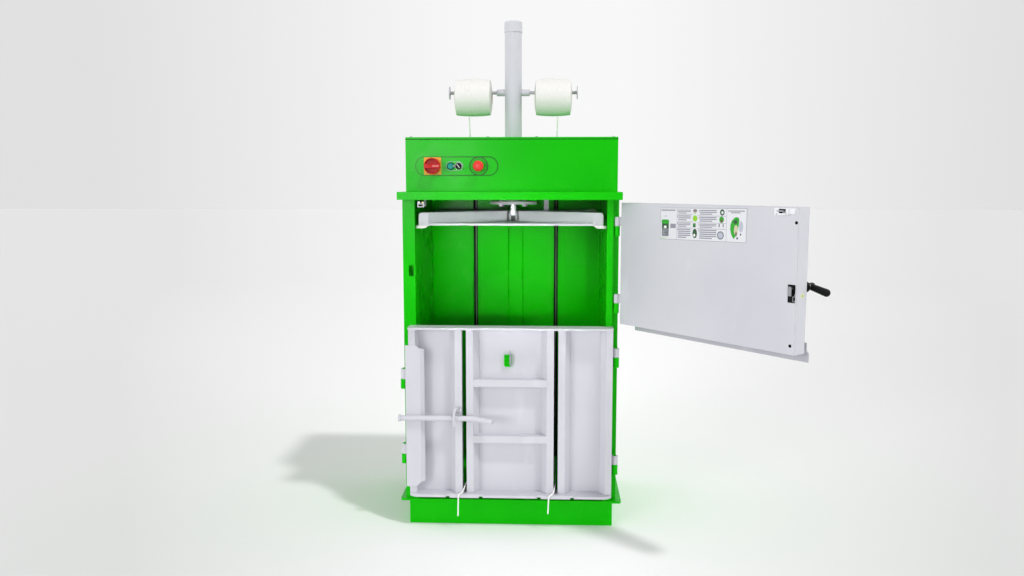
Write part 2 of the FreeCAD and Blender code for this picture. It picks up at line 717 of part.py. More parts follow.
tube = node(body("tube"), "cylinder_tube")
pad(tube, "XY_Plane", d.wall_top_z, d.tube_top_z, (0.0, 0.0, d.tube_r), (0.0, 0.0, bore_r))

cap = node(body("cap"), "cylinder_cap")
CAP_CHAMFER = 3
cap_top = d.tube_top_z + d.cap_height
revolve(cap, "XZ_Plane", "V_Axis",
        [(0.0, d.tube_top_z), (d.cap_r, d.tube_top_z), (d.cap_r, cap_top - CAP_CHAMFER),
         (d.cap_r - CAP_CHAMFER, cap_top), (0.0, cap_top)])

bolts = []
for side_x in (-1, 1):
    for side_y in (-1, 1):
        bolt = body("flange_bolt", bolt_side * side_x, bolt_side * side_y, flange_low)
        hexagon = [(d.flange_bolt_head_r * math.cos(math.radians(60 * k)),
                    d.flange_bolt_head_r * math.sin(math.radians(60 * k))) for k in range(6)]
        pad(bolt, "XY_Plane", -d.flange_bolt_head, 0, hexagon)
        pad(bolt, "XY_Plane", 0.0, d.flange_thick + d.flange_drop, (0.0, 0.0, d.flange_bolt_r))
        bolts.append(bolt)
node(group("flange_bolts", bolts), "flange_bolts")

# ---------------------------------------------------------------- piston rod

eye_z = platen_bottom_z + d.platen_plate + d.platen_rib_height * 0.55
TONGUE_HALF = 17
tongue_top = eye_z + TONGUE_HALF + 6
rod = node(body("rod"), "piston_rod")
piston_low = piston_top_z - d.piston_height
revolve(rod, "XZ_Plane", "V_Axis",
        [(0.0, tongue_top), (d.rod_r, tongue_top), (d.rod_r, piston_low),
         (bore_r - d.running_fit, piston_low), (bore_r - d.running_fit, piston_top_z),
         (0.0, piston_top_z)])
half_tongue = d.tongue_thick / 2
pad(rod, "YZ_Plane", -half_tongue, half_tongue,
    [(-TONGUE_HALF, tongue_top + 5), (-TONGUE_HALF, eye_z, TONGUE_HALF),
     (0.0, eye_z - TONGUE_HALF, TONGUE_HALF), (TONGUE_HALF, eye_z),
     (TONGUE_HALF, tongue_top + 5)])
pocket(rod, "YZ_Plane", -half_tongue, half_tongue, (0.0, eye_z, d.clevis_pin_r + d.running_fit))

# ---------------------------------------------------------------- platen

half_pw = half_chamber - d.platen_gap_x
half_pd = back_y - d.platen_gap_y
plate_top = platen_bottom_z + d.platen_plate
platen = node(body("plate"), "platen_plate")
NOTCH_HALF = 9
NOTCH_DEEP = 12
notched = [(-half_pw, -half_pd)]
for side in (-1, 1):
    middle = d.strap_x * side
    notched += [(middle - NOTCH_HALF, -half_pd), (middle - NOTCH_HALF, -half_pd + NOTCH_DEEP),
                (middle + NOTCH_HALF, -half_pd + NOTCH_DEEP), (middle + NOTCH_HALF, -half_pd)]
notched += [(half_pw, -half_pd), (half_pw, half_pd)]
for side in (1, -1):
    middle = d.strap_x * side
    notched += [(middle + NOTCH_HALF, half_pd), (middle + NOTCH_HALF, half_pd - NOTCH_DEEP),
                (middle - NOTCH_HALF, half_pd - NOTCH_DEEP), (middle - NOTCH_HALF, half_pd)]
notched += [(-half_pw, half_pd)]
pad(platen, "XY_Plane", platen_bottom_z, plate_top, notched)

ribs = node(body("ribs"), "platen_ribs")
slope = math.atan2(float(half_pd), float(half_pw))
run_x = d.platen_rib_width / 2 / math.sin(slope)
run_y = d.platen_rib_width / 2 / math.cos(slope)


def cross_outline(inset):
    """A diagonal cross cut to the plate's rectangle, its walls moved in by the inset."""
    along_x = run_x - inset / math.sin(slope)
    along_y = run_y - inset / math.cos(slope)
    edge_x = half_pw - inset
    edge_y = half_pd - inset
    slack_x = inset / math.tan(slope)
    slack_y = inset * math.tan(slope)
    quarter = [(along_x, 0), (edge_x, half_pd - along_y - slack_y),
               (edge_x, edge_y), (half_pw - along_x - slack_x, edge_y)]
    outline = list(quarter)
    outline += [(0, along_y)]
    outline += [(-x, y) for x, y in quarter[:0:-1]]
    outline += [(-along_x, 0)]
    outline += [(-x, -y) for x, y in quarter[1:]]
    outline += [(0, -along_y)]
    outline += [(x, -y) for x, y in quarter[:0:-1]]
    return outline


rib_top = plate_top + d.platen_rib_height
pad(ribs, "XY_Plane", plate_top, rib_top, cross_outline(0))
pocket(ribs, "XY_Plane", plate_top, rib_top - d.platen_rib_sheet, cross_outline(d.platen_rib_sheet))
RIB_END_R = 12
for side in (-1, 1):
    pocket(ribs, "XZ_Plane", -half_pd - 1, half_pd + 1,
           [(side * (half_pw + 1), rib_top - RIB_END_R), (side * (half_pw + 1), rib_top + 1),
            (side * (half_pw - RIB_END_R), rib_top + 1),
            (side * (half_pw - RIB_END_R), rib_top, -float(side * RIB_END_R)),
            (side * half_pw, rib_top - RIB_END_R)])
CLEVIS_ROOM_X = 22.0
CLEVIS_ROOM_Y = 19.5
room_front = run_y + CLEVIS_ROOM_X * math.tan(slope) + 1
pocket(ribs, "XY_Plane", plate_top, rib_top,
       rectangle(-CLEVIS_ROOM_X, CLEVIS_ROOM_X, -room_front, CLEVIS_ROOM_Y))

clevis = body("ear")
EAR_HALF = 18
ear_low = half_tongue + d.knuckle_gap
pad(clevis, "YZ_Plane", ear_low, ear_low + d.ear_thick,
    [(-EAR_HALF, plate_top), (EAR_HALF, plate_top), (EAR_HALF, eye_z, EAR_HALF),
     (0.0, eye_z + EAR_HALF, EAR_HALF), (-EAR_HALF, eye_z)],
    (0.0, eye_z, d.clevis_pin_r + d.running_fit))
other_ear = doc.addObject("Part::Mirroring", "other_ear")
other_ear.Source = clevis
other_ear.Normal = FreeCAD.Vector(1, 0, 0)
pin = body("pin")
pin_reach = ear_low + d.ear_thick + 3
pad(pin, "YZ_Plane", -pin_reach, pin_reach, (0.0, eye_z, d.clevis_pin_r))
node(group("rod_clevis", [clevis, other_ear, pin]), "rod_clevis")

shoe = body("shoe")
shoe_out = half_chamber - d.shoe_wall_gap
shoe_in = shoe_out - d.shoe_length
SHOE_FRONT_GAP = 5
shoe_front = front_y + SHOE_FRONT_GAP
SHOE_CUT = 10
shoe_low = platen_bottom_z - d.shoe_thick
pad(shoe, "XY_Plane", shoe_low, platen_bottom_z,
    [(shoe_in, shoe_front), (shoe_out - SHOE_CUT, shoe_front), (shoe_out, shoe_front + SHOE_CUT),
     (shoe_out, shoe_front + d.shoe_depth), (shoe_in, shoe_front + d.shoe_depth)])
pocket(shoe, "XZ_Plane", shoe_front - 1, shoe_front + d.shoe_depth + 1,
       [(shoe_in - 1, shoe_low - 1), (shoe_in + d.shoe_thick, shoe_low - 1),
        (shoe_in + d.shoe_thick, shoe_low), (shoe_in - 1, platen_bottom_z - 2)])
front_shoes = mirrored_pair("front_shoes", shoe)
node(mirrored_pair("platen_shoes", front_shoes, (0, 1, 0)), "platen_shoes")

# ---------------------------------------------------------------- roll arms and rolls

arm = body("arm", z=d.arm_z)
revolve(arm, "XZ_Plane", "H_Axis",
        [(d.tube_r / 2, 0.0), (d.tube_r / 2, d.arm_boss_r), (d.arm_boss_end, d.arm_boss_r),
         (d.arm_boss_end, d.arm_r), (d.arm_end - d.arm_disc_thick, d.arm_r),
         (d.arm_end - d.arm_disc_thick, d.arm_disc_r), (d.arm_end, d.arm_disc_r), (d.arm_end, 0.0)])
pocket(arm, "XY_Plane", -d.arm_boss_r, d.arm_boss_r, (0.0, 0.0, d.tube_r))
node(mirrored_pair("roll_arms", arm), "roll_arms")

roll_hang = d.roll_core_r - d.arm_r - d.knuckle_gap
roll_z = d.arm_z - roll_hang
half_body = d.roll_width / 2 - d.roll_bulge
crown_r = (half_body * half_body + d.roll_crown * d.roll_crown) / (2 * d.roll_crown)
end_rise = d.roll_r - d.roll_crown - d.roll_core_r
bulge_r = (end_rise * end_rise + d.roll_bulge * d.roll_bulge) / (2 * d.roll_bulge)
for side, name in ((-1, "left_roll"), (1, "right_roll")):
    near = side * d.roll_near_x
    far = side * (d.roll_near_x + d.roll_width)
    turned = -1 if side > 0 else 1
    edge_r = d.roll_r - d.roll_crown
    near_edge = near + side * d.roll_bulge
    far_edge = far - side * d.roll_bulge
    roll = node(body("roll", z=roll_z), name)
    revolve(roll, "XZ_Plane", "H_Axis",
            [(near, d.roll_core_r, turned * bulge_r), (near_edge, edge_r, turned * crown_r),
             (far_edge, edge_r, turned * bulge_r), (far, d.roll_core_r)])

# ---------------------------------------------------------------- hinges


def knuckle(name, x, y, low, high, radius, bore, leaf, turn=0.0):
    """Half of a lift-off hinge: an eye at the axis with a leaf, given from that axis."""
    half = body(name, x, y, turn=turn)
    pad(half, "XY_Plane", low, high, rectangle(*leaf))
    pad(half, "XY_Plane", low, high, (0.0, 0.0, radius))
    pocket(half, "XY_Plane", low, high, (0.0, 0.0, bore))
    return half


def pintle(name, x, y, low, high, top, radius, pin_r, leaf):
    """The fixed half: an eye with a leaf, and the pin that stands up from it."""
    half = body(name, x, y)
    pad(half, "XY_Plane", low, high, rectangle(*leaf))
    pad(half, "XY_Plane", low, high, (0.0, 0.0, radius))
    pad(half, "XY_Plane", high, top, (0.0, 0.0, pin_r))
    return half


PIN_RISE = 3
lower_axis_y = front_y - d.lower_hinge_y
clamp_axis_y = front_y - d.clamp_hinge_y
recess_y = front_y + d.hinge_recess_depth

upper_leaf = (-d.upper_door_edge, -d.upper_knuckle_r / 2, -d.upper_door_gap - 9, -d.upper_door_gap - 1)
upper_halves = []
pintles = []
for low in (d.upper_eye_low_z, d.upper_eye_high_z):
    high = low + d.upper_eye_height
    upper_halves.append(knuckle("upper_eye", hinge_x, front_y, low, high, d.upper_knuckle_r,
                                d.hinge_pin_r + d.running_fit, upper_leaf, d.door_open_angle))
    base = low - d.knuckle_gap
    pintles.append(pintle("upper_pintle", hinge_x, front_y, base - d.upper_pintle_height, base,
                          high + PIN_RISE, d.upper_knuckle_r, d.hinge_pin_r,
                          (-d.upper_knuckle_r / 2, d.upper_knuckle_r / 2, 0.0, d.hinge_recess_depth)))
node(group("upper_door_hinges", upper_halves), "upper_door_hinges")

lower_halves = []
door_side = lower_door_right - hinge_x
for low in (d.lower_eye_low_z, d.lower_eye_high_z):
    high = low + d.lower_eye_height
    lower_halves.append(knuckle("lower_eye", hinge_x, lower_axis_y, low, high,
                                d.lower_knuckle_r, d.heavy_pin_r + d.running_fit,
                                (door_side, -d.lower_knuckle_r / 2, -5.0, 5.0)))
    base = low - d.knuckle_gap
    pintles.append(pintle("lower_pintle", hinge_x, lower_axis_y, base - d.lower_pintle_height, base,
                          high + PIN_RISE, d.lower_knuckle_r, d.heavy_pin_r,
                          (-d.lower_knuckle_r / 2, d.lower_knuckle_r / 2, 0.0,
                           d.hinge_recess_depth + d.lower_hinge_y)))
node(group("lower_door_hinges", lower_halves), "lower_door_hinges")

# ---------------------------------------------------------------- clamp bar and lever

rib_front_y = front_y - d.lower_door_gap - d.lower_door_sheet - d.lower_door_rib
clamp_in_y = rib_front_y - d.clamp_rib_gap
clamp_out_y = clamp_in_y - d.clamp_sheet
CLAMP_EDGE_BACK = 8
clamp_back_y = clamp_in_y + CLAMP_EDGE_BACK
clamp_x0 = -clamp_hinge_x + d.clamp_left
clamp_x1 = clamp_x0 + d.clamp_face
clamp_x2 = clamp_x1 + d.clamp_slope
cut = d.clamp_corner


def clamp_outline(right, low, high):
    """Front view of the clamp bar: square on the hinge side, cut corners on the other."""
    return [(clamp_x0, low), (right - cut, low), (right, low + cut), (right, high - cut),
            (right - cut, high), (clamp_x0, high)]


clamp = body("clamp")
loft(clamp, "PartDesign::AdditiveLoft", "XZ_Plane",
     (clamp_out_y, clamp_outline(clamp_x1, d.clamp_low_z, d.clamp_high_z)),
     (clamp_back_y, clamp_outline(clamp_x2, d.clamp_low_z, d.clamp_high_z)))
OPEN_END = 30
loft(clamp, "PartDesign::SubtractiveLoft", "XZ_Plane",
     (clamp_in_y, rectangle(clamp_x0 - 1, clamp_x1 - d.clamp_sheet * 0.6,
                            d.clamp_low_z - OPEN_END, d.clamp_high_z + OPEN_END)),
     (clamp_back_y + 0.01, rectangle(clamp_x0 - 1, clamp_x2 - d.clamp_sheet,
                                     d.clamp_low_z - OPEN_END, d.clamp_high_z + OPEN_END)))

clamp_halves = []
for low in (d.clamp_eye_low_z, d.clamp_eye_high_z):
    high = low + d.clamp_eye_height
    leaf = (0.0, d.clamp_left + 8, clamp_in_y - clamp_axis_y, clamp_in_y - clamp_axis_y + 7)
    clamp_halves.append(knuckle("clamp_eye", -clamp_hinge_x, clamp_axis_y, low, high,
                                d.clamp_knuckle_r - 0.8, d.heavy_pin_r + d.running_fit, leaf))
    base = low - d.knuckle_gap
    pintles.append(pintle("clamp_pintle", -clamp_hinge_x, clamp_axis_y, base - d.clamp_pintle_height, base,
                          high + PIN_RISE, d.clamp_knuckle_r, d.heavy_pin_r,
                          (-3.0, d.clamp_knuckle_r / 2, 0.0, d.clamp_hinge_y)))
node(group("clamp_bar", [clamp] + clamp_halves), "clamp_bar")
node(group("frame_hinges", pintles), "frame_hinges")

lever_y = clamp_out_y - d.lever_r
LEVER_LEFT = 412
LEVER_BEND_X = 135
LEVER_END_X = 61
LEVER_BEND_OUT = 26
LEVER_RADIUS = 90.0
LEVER_SAG = 5
lever_shape, _, _ = bar_along(
    [(-LEVER_LEFT, lever_y, d.lever_z), (-LEVER_BEND_X, lever_y, d.lever_z),
     (-LEVER_END_X, lever_y - LEVER_BEND_OUT, d.lever_z - LEVER_SAG)], d.lever_r, [LEVER_RADIUS])
COLLAR_R = 13
COLLAR_LENGTH = 9
collar_at = FreeCAD.Vector(-LEVER_LEFT - 3, float(lever_y), float(d.lever_z))
collar = Part.makeCylinder(COLLAR_R, COLLAR_LENGTH, collar_at, FreeCAD.Vector(1, 0, 0))
node(shaped("lever", lever_shape.fuse(collar).removeSplitter()), "locking_lever")

# ---------------------------------------------------------------- lower door

door_left_x = d.lower_door_inset - half_machine
sheet_front_y = front_y - d.lower_door_gap - d.lower_door_sheet
rail_front_y = rib_front_y - d.rail_overhang
rail_top_z = d.lower_door_low_z + d.bottom_rail_thick
half_slot = d.door_slot_width / 2
SLOT_LOW_LAP = 4

door_sheet = node(body("door_sheet"), "lower_door_sheet")
pad(door_sheet, "XZ_Plane", sheet_front_y, front_y - d.lower_door_gap,
    rectangle(door_left_x, lower_door_right, rail_top_z, d.top_rail_z),
    *[rectangle(side * d.strap_x - half_slot, side * d.strap_x + half_slot,
                rail_top_z + SLOT_LOW_LAP, d.top_rail_z - SLOT_LOW_LAP) for side in (-1, 1)])


def door_rib(name, foot_x, slope_x, wall_x):
    """A folded rib: sloped side, flat face and a straight side, open towards the sheet."""
    rib = body(name)
    towards = 1 if float(wall_x) > float(foot_x) else -1
    run = abs(float(slope_x) - float(foot_x))
    depth = float(d.lower_door_rib)
    side_wide = d.rib_sheet * (towards * math.hypot(run, depth) / depth)
    inner_y = rib_front_y + d.rib_sheet
    pad(rib, "XY_Plane", rail_top_z, d.top_rail_z,
        [(foot_x, sheet_front_y), (slope_x, rib_front_y), (wall_x, rib_front_y),
         (wall_x, sheet_front_y), (wall_x - towards * d.rib_sheet, sheet_front_y),
         (wall_x - towards * d.rib_sheet, inner_y),
         (slope_x + side_wide - d.rib_sheet * (towards * run / depth), inner_y),
         (foot_x + side_wide, sheet_front_y)])
    return rib


slot_ribs = []
for side in (-1, 1):
    for outward in (-1, 1):
        wall_x = side * d.strap_x + outward * half_slot
        slope_x = wall_x + outward * d.rib_face
        slot_ribs.append(door_rib("slot_rib", slope_x + outward * d.rib_slope, slope_x, wall_x))

EDGE_FACE_RIGHT = 23.5
EDGE_FACE_LEFT = 25
EDGE_SLOPE_LEFT = 9
edge_ribs = [
    door_rib("edge_rib_right", lower_door_right - EDGE_FACE_RIGHT - d.rib_slope,
             lower_door_right - EDGE_FACE_RIGHT, lower_door_right),
    door_rib("edge_rib_left", door_left_x + EDGE_FACE_LEFT + EDGE_SLOPE_LEFT,
             door_left_x + EDGE_FACE_LEFT, door_left_x)]
node(group("lower_door_ribs", slot_ribs + edge_ribs), "lower_door_ribs")

cross_ribs = []
cross_front = d.strap_x - half_slot - d.rib_face
cross_back = cross_front - d.rib_slope
cross_sheet = d.rib_sheet
for step in (0, 1):
    low = d.cross_rib_low_z + step * d.cross_rib_pitch
    rib = body("cross_rib")
    pad(rib, "XY_Plane", low, low + d.cross_rib_height,
        [(-cross_back, sheet_front_y), (-cross_front, rib_front_y),
         (cross_front, rib_front_y), (cross_back, sheet_front_y)])
    pocket(rib, "XZ_Plane", rib_front_y + cross_sheet, sheet_front_y,
           rectangle(-cross_front, cross_front, low + cross_sheet,
                     low + d.cross_rib_height - cross_sheet))
    cross_ribs.append(rib)
node(group("lower_door_cross_ribs", cross_ribs), "lower_door_cross_ribs")

top_rail = node(body("top_rail"), "lower_door_top_rail")
TOP_CORNER = 6
pad(top_rail, "XY_Plane", d.top_rail_z, d.top_rail_z + d.top_rail_thick,
    [(door_left_x, front_y - d.lower_door_gap), (door_left_x, rail_front_y + TOP_CORNER),
     (door_left_x + TOP_CORNER, rail_front_y), (lower_door_right - TOP_CORNER, rail_front_y),
     (lower_door_right, rail_front_y + TOP_CORNER),
     (lower_door_right, front_y - d.lower_door_gap)])

bottom_rail = node(body("bottom_rail"), "lower_door_bottom_rail")
corner_r = (d.rail_corner_run * d.rail_corner_run + d.rail_overhang * d.rail_overhang) / (
    2 * d.rail_overhang)
NOTCH_RAIL = 12
rail_outline = [(door_left_x, front_y - d.lower_door_gap), (door_left_x, rib_front_y, corner_r),
                (door_left_x + d.rail_corner_run, rail_front_y)]
for side in (-1, 1):
    for end in (-1, 1):
        notch = side * d.strap_x + end * (d.guide_half - d.guide_notch / 2)
        rail_outline += [(notch - d.guide_notch / 2, rail_front_y),
                         (notch - d.guide_notch / 2, rail_front_y + NOTCH_RAIL),
                         (notch + d.guide_notch / 2, rail_front_y + NOTCH_RAIL),
                         (notch + d.guide_notch / 2, rail_front_y)]
rail_outline += [(lower_door_right - d.rail_corner_run, rail_front_y, corner_r),
                 (lower_door_right, rib_front_y),
                 (lower_door_right, front_y - d.lower_door_gap)]
pad(bottom_rail, "XY_Plane", d.lower_door_low_z, rail_top_z, rail_outline)

GUIDE_SHEET = 3.5
guide_path = [(rib_front_y - 3, rail_top_z), (rail_front_y, rail_top_z),
              (rail_front_y, d.lower_door_low_z)]
guide = body("guide")
pad(guide, "YZ_Plane", d.strap_x - d.guide_half, d.strap_x + d.guide_half,
    folded(guide_path, -GUIDE_SHEET))
for end in (-1, 1):
    notch = d.strap_x + end * (d.guide_half - d.guide_notch / 2)
    pocket(guide, "XZ_Plane", rail_front_y - 10, rail_front_y + 1,
           rectangle(notch - d.guide_notch / 2, notch + d.guide_notch / 2,
                     d.lower_door_low_z - 1, d.lower_door_low_z + 7))
node(mirrored_pair("strap_guides", guide), "strap_guides")

# ---------------------------------------------------------------- strap cutter

CUTTER_LEFT = -23
CUTTER_WIDTH = 28
CUTTER_LOW = 617
CUTTER_HEIGHT = 46
CUTTER_DEEP = 12
cutter = node(body("cutter"), "strap_cutter")
cutter_front = sheet_front_y - CUTTER_DEEP
pad(cutter, "XZ_Plane", cutter_front, sheet_front_y,
    [(CUTTER_LEFT + 4, CUTTER_LOW), (CUTTER_LEFT + CUTTER_WIDTH - 5, CUTTER_LOW),
     (CUTTER_LEFT + CUTTER_WIDTH, CUTTER_LOW + 6),
     (CUTTER_LEFT + CUTTER_WIDTH, CUTTER_LOW + CUTTER_HEIGHT),
     (CUTTER_LEFT, CUTTER_LOW + CUTTER_HEIGHT - 2), (CUTTER_LEFT, CUTTER_LOW + 5)])
for column in (0, 1):
    for row in (0, 1, 2):
        slot_x = CUTTER_LEFT + 4 + 9 * column
        slot_z = CUTTER_LOW + 7 + 13 * row
        pocket(cutter, "XZ_Plane", cutter_front, cutter_front + 5,
               [(slot_x, slot_z), (slot_x + 6, slot_z), (slot_x + 6, slot_z + 7), (slot_x, slot_z + 7)])
blade = node(body("blade"), "cutter_blade")
pad(blade, "XZ_Plane", cutter_front - 2, cutter_front,
    [(CUTTER_LEFT + 20, CUTTER_LOW + 8), (CUTTER_LEFT + 27, CUTTER_LOW + 2),
     (CUTTER_LEFT + 27.5, CUTTER_LOW + 40), (CUTTER_LEFT + 23.5, CUTTER_LOW + 67),
     (CUTTER_LEFT + 20, CUTTER_LOW + 40)])

# ---------------------------------------------------------------- catch hook

EAR_OUT = 12
EAR_THICK = 5
CATCH_HALF = 7
catch_y = rib_front_y - 8
ears = []
for end in (-1, 1):
    ear = body("catch_ear")
    inside = -d.catch_x + end * (CATCH_HALF + d.knuckle_gap)
    low, high = (inside, inside + EAR_THICK) if end > 0 else (inside - EAR_THICK, inside)
    pad(ear, "YZ_Plane", low, high,
        [(rib_front_y, d.catch_z - EAR_OUT), (rib_front_y, d.catch_z + EAR_OUT),
         (catch_y, d.catch_z + EAR_OUT, EAR_OUT), (catch_y - EAR_OUT, d.catch_z, EAR_OUT),
         (catch_y, d.catch_z - EAR_OUT)],
        (catch_y, d.catch_z, d.catch_pin_r + d.running_fit))
    ears.append(ear)
catch_pin = body("catch_pin")
pad(catch_pin, "YZ_Plane", -d.catch_x - CATCH_HALF - EAR_THICK - 2, -d.catch_x + CATCH_HALF + EAR_THICK + 2,
    (catch_y, d.catch_z, d.catch_pin_r))
ears.append(catch_pin)
node(group("catch_bracket", ears), "catch_bracket")

HOOK_REACH = 30
HOOK_UP = 12
HOOK_LOW = 404
HOOK_SKEW = 13
hook_x = float(-d.catch_x)
hook_y = float(catch_y)
hook_z = float(d.catch_z)
hook_bar, _, _ = bar_along(
    [(hook_x, hook_y - 5, hook_z + 3), (hook_x - 1, hook_y - 13, hook_z + HOOK_UP),
     (hook_x - 6, hook_y - HOOK_REACH + 5, hook_z + HOOK_UP),
     (hook_x - HOOK_SKEW, hook_y - HOOK_REACH - 1, hook_z - 4),
     (hook_x - HOOK_SKEW, hook_y - HOOK_REACH, HOOK_LOW)], d.catch_bar_r)
HOOK_EYE_R = 8
eye_start = FreeCAD.Vector(hook_x - CATCH_HALF, hook_y, hook_z)
hook_eye = Part.makeCylinder(HOOK_EYE_R, 2 * CATCH_HALF, eye_start, FreeCAD.Vector(1, 0, 0))
hook_bore = Part.makeCylinder(float(d.catch_pin_r + d.running_fit), 2 * CATCH_HALF, eye_start,
                              FreeCAD.Vector(1, 0, 0))
node(shaped("hook", hook_bar.fuse(hook_eye).cut(hook_bore).removeSplitter()), "catch_hook")

# ---------------------------------------------------------------- upper door (from its hinge axis)


def on_upper_door(name):
    """A body of the upper door, drawn shut and turned open about the hinge axis."""
    return body(name, hinge_x, front_y, turn=d.door_open_angle)


door_near = -d.upper_door_edge
door_far = d.upper_door_inset - half_machine - hinge_x
inner_y = -d.upper_door_gap
outer_y = inner_y - d.upper_door_thick
liner_y = inner_y - d.door_sheet
bend = d.door_bend
inner_bend = bend - d.door_sheet

skin = node(on_upper_door("door_skin"), "upper_door_skin")
pad(skin, "XY_Plane", upper_door_low_z, upper_door_top_z,
    [(door_near, liner_y), (door_far, liner_y), (door_far, outer_y + bend, bend),
     (door_far + bend, outer_y), (door_near - bend, outer_y, bend), (door_near, outer_y + bend)])
pocket(skin, "XY_Plane", upper_door_low_z + d.door_sheet, upper_door_top_z - d.door_sheet,
       [(door_near - d.door_sheet, liner_y), (door_far + d.door_sheet, liner_y),
        (door_far + d.door_sheet, outer_y + bend, inner_bend), (door_far + bend, outer_y + d.door_sheet),
        (door_near - bend, outer_y + d.door_sheet, inner_bend), (door_near - d.door_sheet, outer_y + bend)])
LOCK_HALF = 13.5
LOCK_LOW = 44
LOCK_HIGH = 11
spindle_x = -keeper_x - hinge_x
lock_rectangle = rectangle(spindle_x - LOCK_HALF, spindle_x + LOCK_HALF,
                           spindle_z - LOCK_LOW, spindle_z + LOCK_HIGH)
pocket(skin, "XZ_Plane", outer_y - 1, outer_y + 2 * d.door_sheet,
       (spindle_x, spindle_z, d.spindle_r + 1))

liner = node(on_upper_door("door_liner"), "upper_door_liner")
pad(liner, "XZ_Plane", liner_y, inner_y,
    rectangle(door_far, door_near, upper_door_low_z, upper_door_top_z), lock_rectangle)

strip = node(on_upper_door("door_strip"), "upper_door_lip")
LIP_START = 6
LIP_LEG = 33
LIP_FOOT = 8
strip_path = [(outer_y, upper_door_low_z + LIP_LEG), (outer_y, upper_door_low_z + LIP_FOOT),
              (outer_y - d.lip_stand_off, upper_door_low_z - 2),
              (outer_y - d.lip_stand_off, upper_door_low_z - d.lip_drop)]
pad(strip, "YZ_Plane", door_far, door_near - LIP_START, folded(strip_path, -d.lip_sheet))

lock_case = node(on_upper_door("lock"), "lock_case")
LOCK_DEEP = 26
pad(lock_case, "XZ_Plane", inner_y - LOCK_DEEP, inner_y,
    [(c[0] + shift[0], c[1] + shift[1]) for c, shift in
     zip(lock_rectangle, ((0.3, 0.3), (-0.3, 0.3), (-0.3, -0.3), (0.3, -0.3)))],
    (spindle_x, spindle_z, d.spindle_r + d.running_fit))

key = node(on_upper_door("key"), "interlock_key")
KEY_NEAR = 39
KEY_FAR = 31
KEY_BLOCK = 9
switch_x = d.switch_inset - half_chamber
key_x = switch_x - hinge_x
block_near = -half_chamber - hinge_x + 2
pad(key, "XZ_Plane", inner_y, inner_y + KEY_BLOCK,
    rectangle(block_near, key_x + KEY_FAR, key_z - 13, key_z + 9),
    rectangle(key_x - 10, key_x + 14, key_z - 7, key_z + 6))
pad(key, "XZ_Plane", inner_y, inner_y + 2.0, rectangle(key_x - KEY_NEAR, key_x + 16, key_z - 9, key_z + 8))
KEY_REACH = 31
pad(key, "XZ_Plane", inner_y + 2.0, inner_y + KEY_REACH,
    rectangle(key_x - 6, key_x + 6, key_z - 1.5, key_z + 1.5))

# ---------------------------------------------------------------- handle and latch cam

ROSE_R = 17
ROSE_HEIGHT = 8
HUB_R = 11
HUB_HEIGHT = 34
GRIP_R = 10
TIP_R = 12
grip_y = outer_y - ROSE_HEIGHT - HUB_HEIGHT + TIP_R


def handle_shape():
    """Rose, hub and a swelling grip that ends in a round tip, pointing to the door's free edge."""
    centre = FreeCAD.Vector(float(spindle_x), 0, float(spindle_z))
    inward = FreeCAD.Vector(0, 1, 0)
    outer = float(outer_y)
    rose = Part.makeCylinder(ROSE_R, ROSE_HEIGHT, centre + inward * (outer - ROSE_HEIGHT - 0.3), inward)
    hub = Part.makeCylinder(HUB_R, HUB_HEIGHT, centre + inward * (outer - ROSE_HEIGHT - HUB_HEIGHT), inward)
    start = FreeCAD.Vector(0, 0, 0)
    length = float(d.grip_length)
    profile = Part.Wire([
        Part.LineSegment(start, FreeCAD.Vector(0, GRIP_R, 0)).toShape(),
        Part.LineSegment(FreeCAD.Vector(0, GRIP_R, 0), FreeCAD.Vector(length - TIP_R, TIP_R, 0)).toShape(),
        Part.Arc(FreeCAD.Vector(length - TIP_R, TIP_R, 0),
                 FreeCAD.Vector(length - TIP_R * (1 - math.sin(math.pi / 4)), TIP_R * math.sin(math.pi / 4), 0),
                 FreeCAD.Vector(length, 0, 0)).toShape(),
        Part.LineSegment(FreeCAD.Vector(length, 0, 0), start).toShape()])
    grip = Part.Face(profile).revolve(start, FreeCAD.Vector(1, 0, 0), 360)
    grip.rotate(start, FreeCAD.Vector(0, 0, 1), 180)
    grip.rotate(start, FreeCAD.Vector(0, 1, 0), -float(d.handle_angle))
    grip.translate(centre + inward * float(grip_y))
    return rose.fuse(hub).fuse(grip).removeSplitter()


spindle_reach = inner_y + 15
CAM_GAP = 7
CAM_THICK = 4
CAM_HALF = 6
CAM_LENGTH = 23


def cam_shape():
    """Spindle through the lock case with the latch cam on its end."""
    centre = FreeCAD.Vector(float(spindle_x), 0, float(spindle_z))
    inward = FreeCAD.Vector(0, 1, 0)
    start = float(outer_y) - ROSE_HEIGHT * 0.5
    spindle = Part.makeCylinder(float(d.spindle_r), float(inner_y) + CAM_GAP - start, centre + inward * start, inward)
    cam = Part.makeBox(2 * CAM_HALF, CAM_THICK, CAM_LENGTH,
                       FreeCAD.Vector(float(spindle_x) - CAM_HALF, float(inner_y) + CAM_GAP,
                                      float(spindle_z) - CAM_LENGTH))
    end = Part.makeCylinder(CAM_HALF, CAM_THICK, centre + inward * (float(inner_y) + CAM_GAP), inward)
    return spindle.fuse(cam).fuse(end).removeSplitter()


door_place = FreeCAD.Placement(
    FreeCAD.Vector(float(hinge_x), float(front_y), 0),
    FreeCAD.Rotation(UP, float(d.door_open_angle)))
spindle_part = cam_shape()
grip_part = handle_shape().cut(spindle_part)
handle = node(shaped("handle", grip_part), "door_handle")
handle.Placement = door_place
cam = node(shaped("cam", spindle_part), "latch_cam")
cam.Placement = door_place

# ---------------------------------------------------------------- switches inside the opening

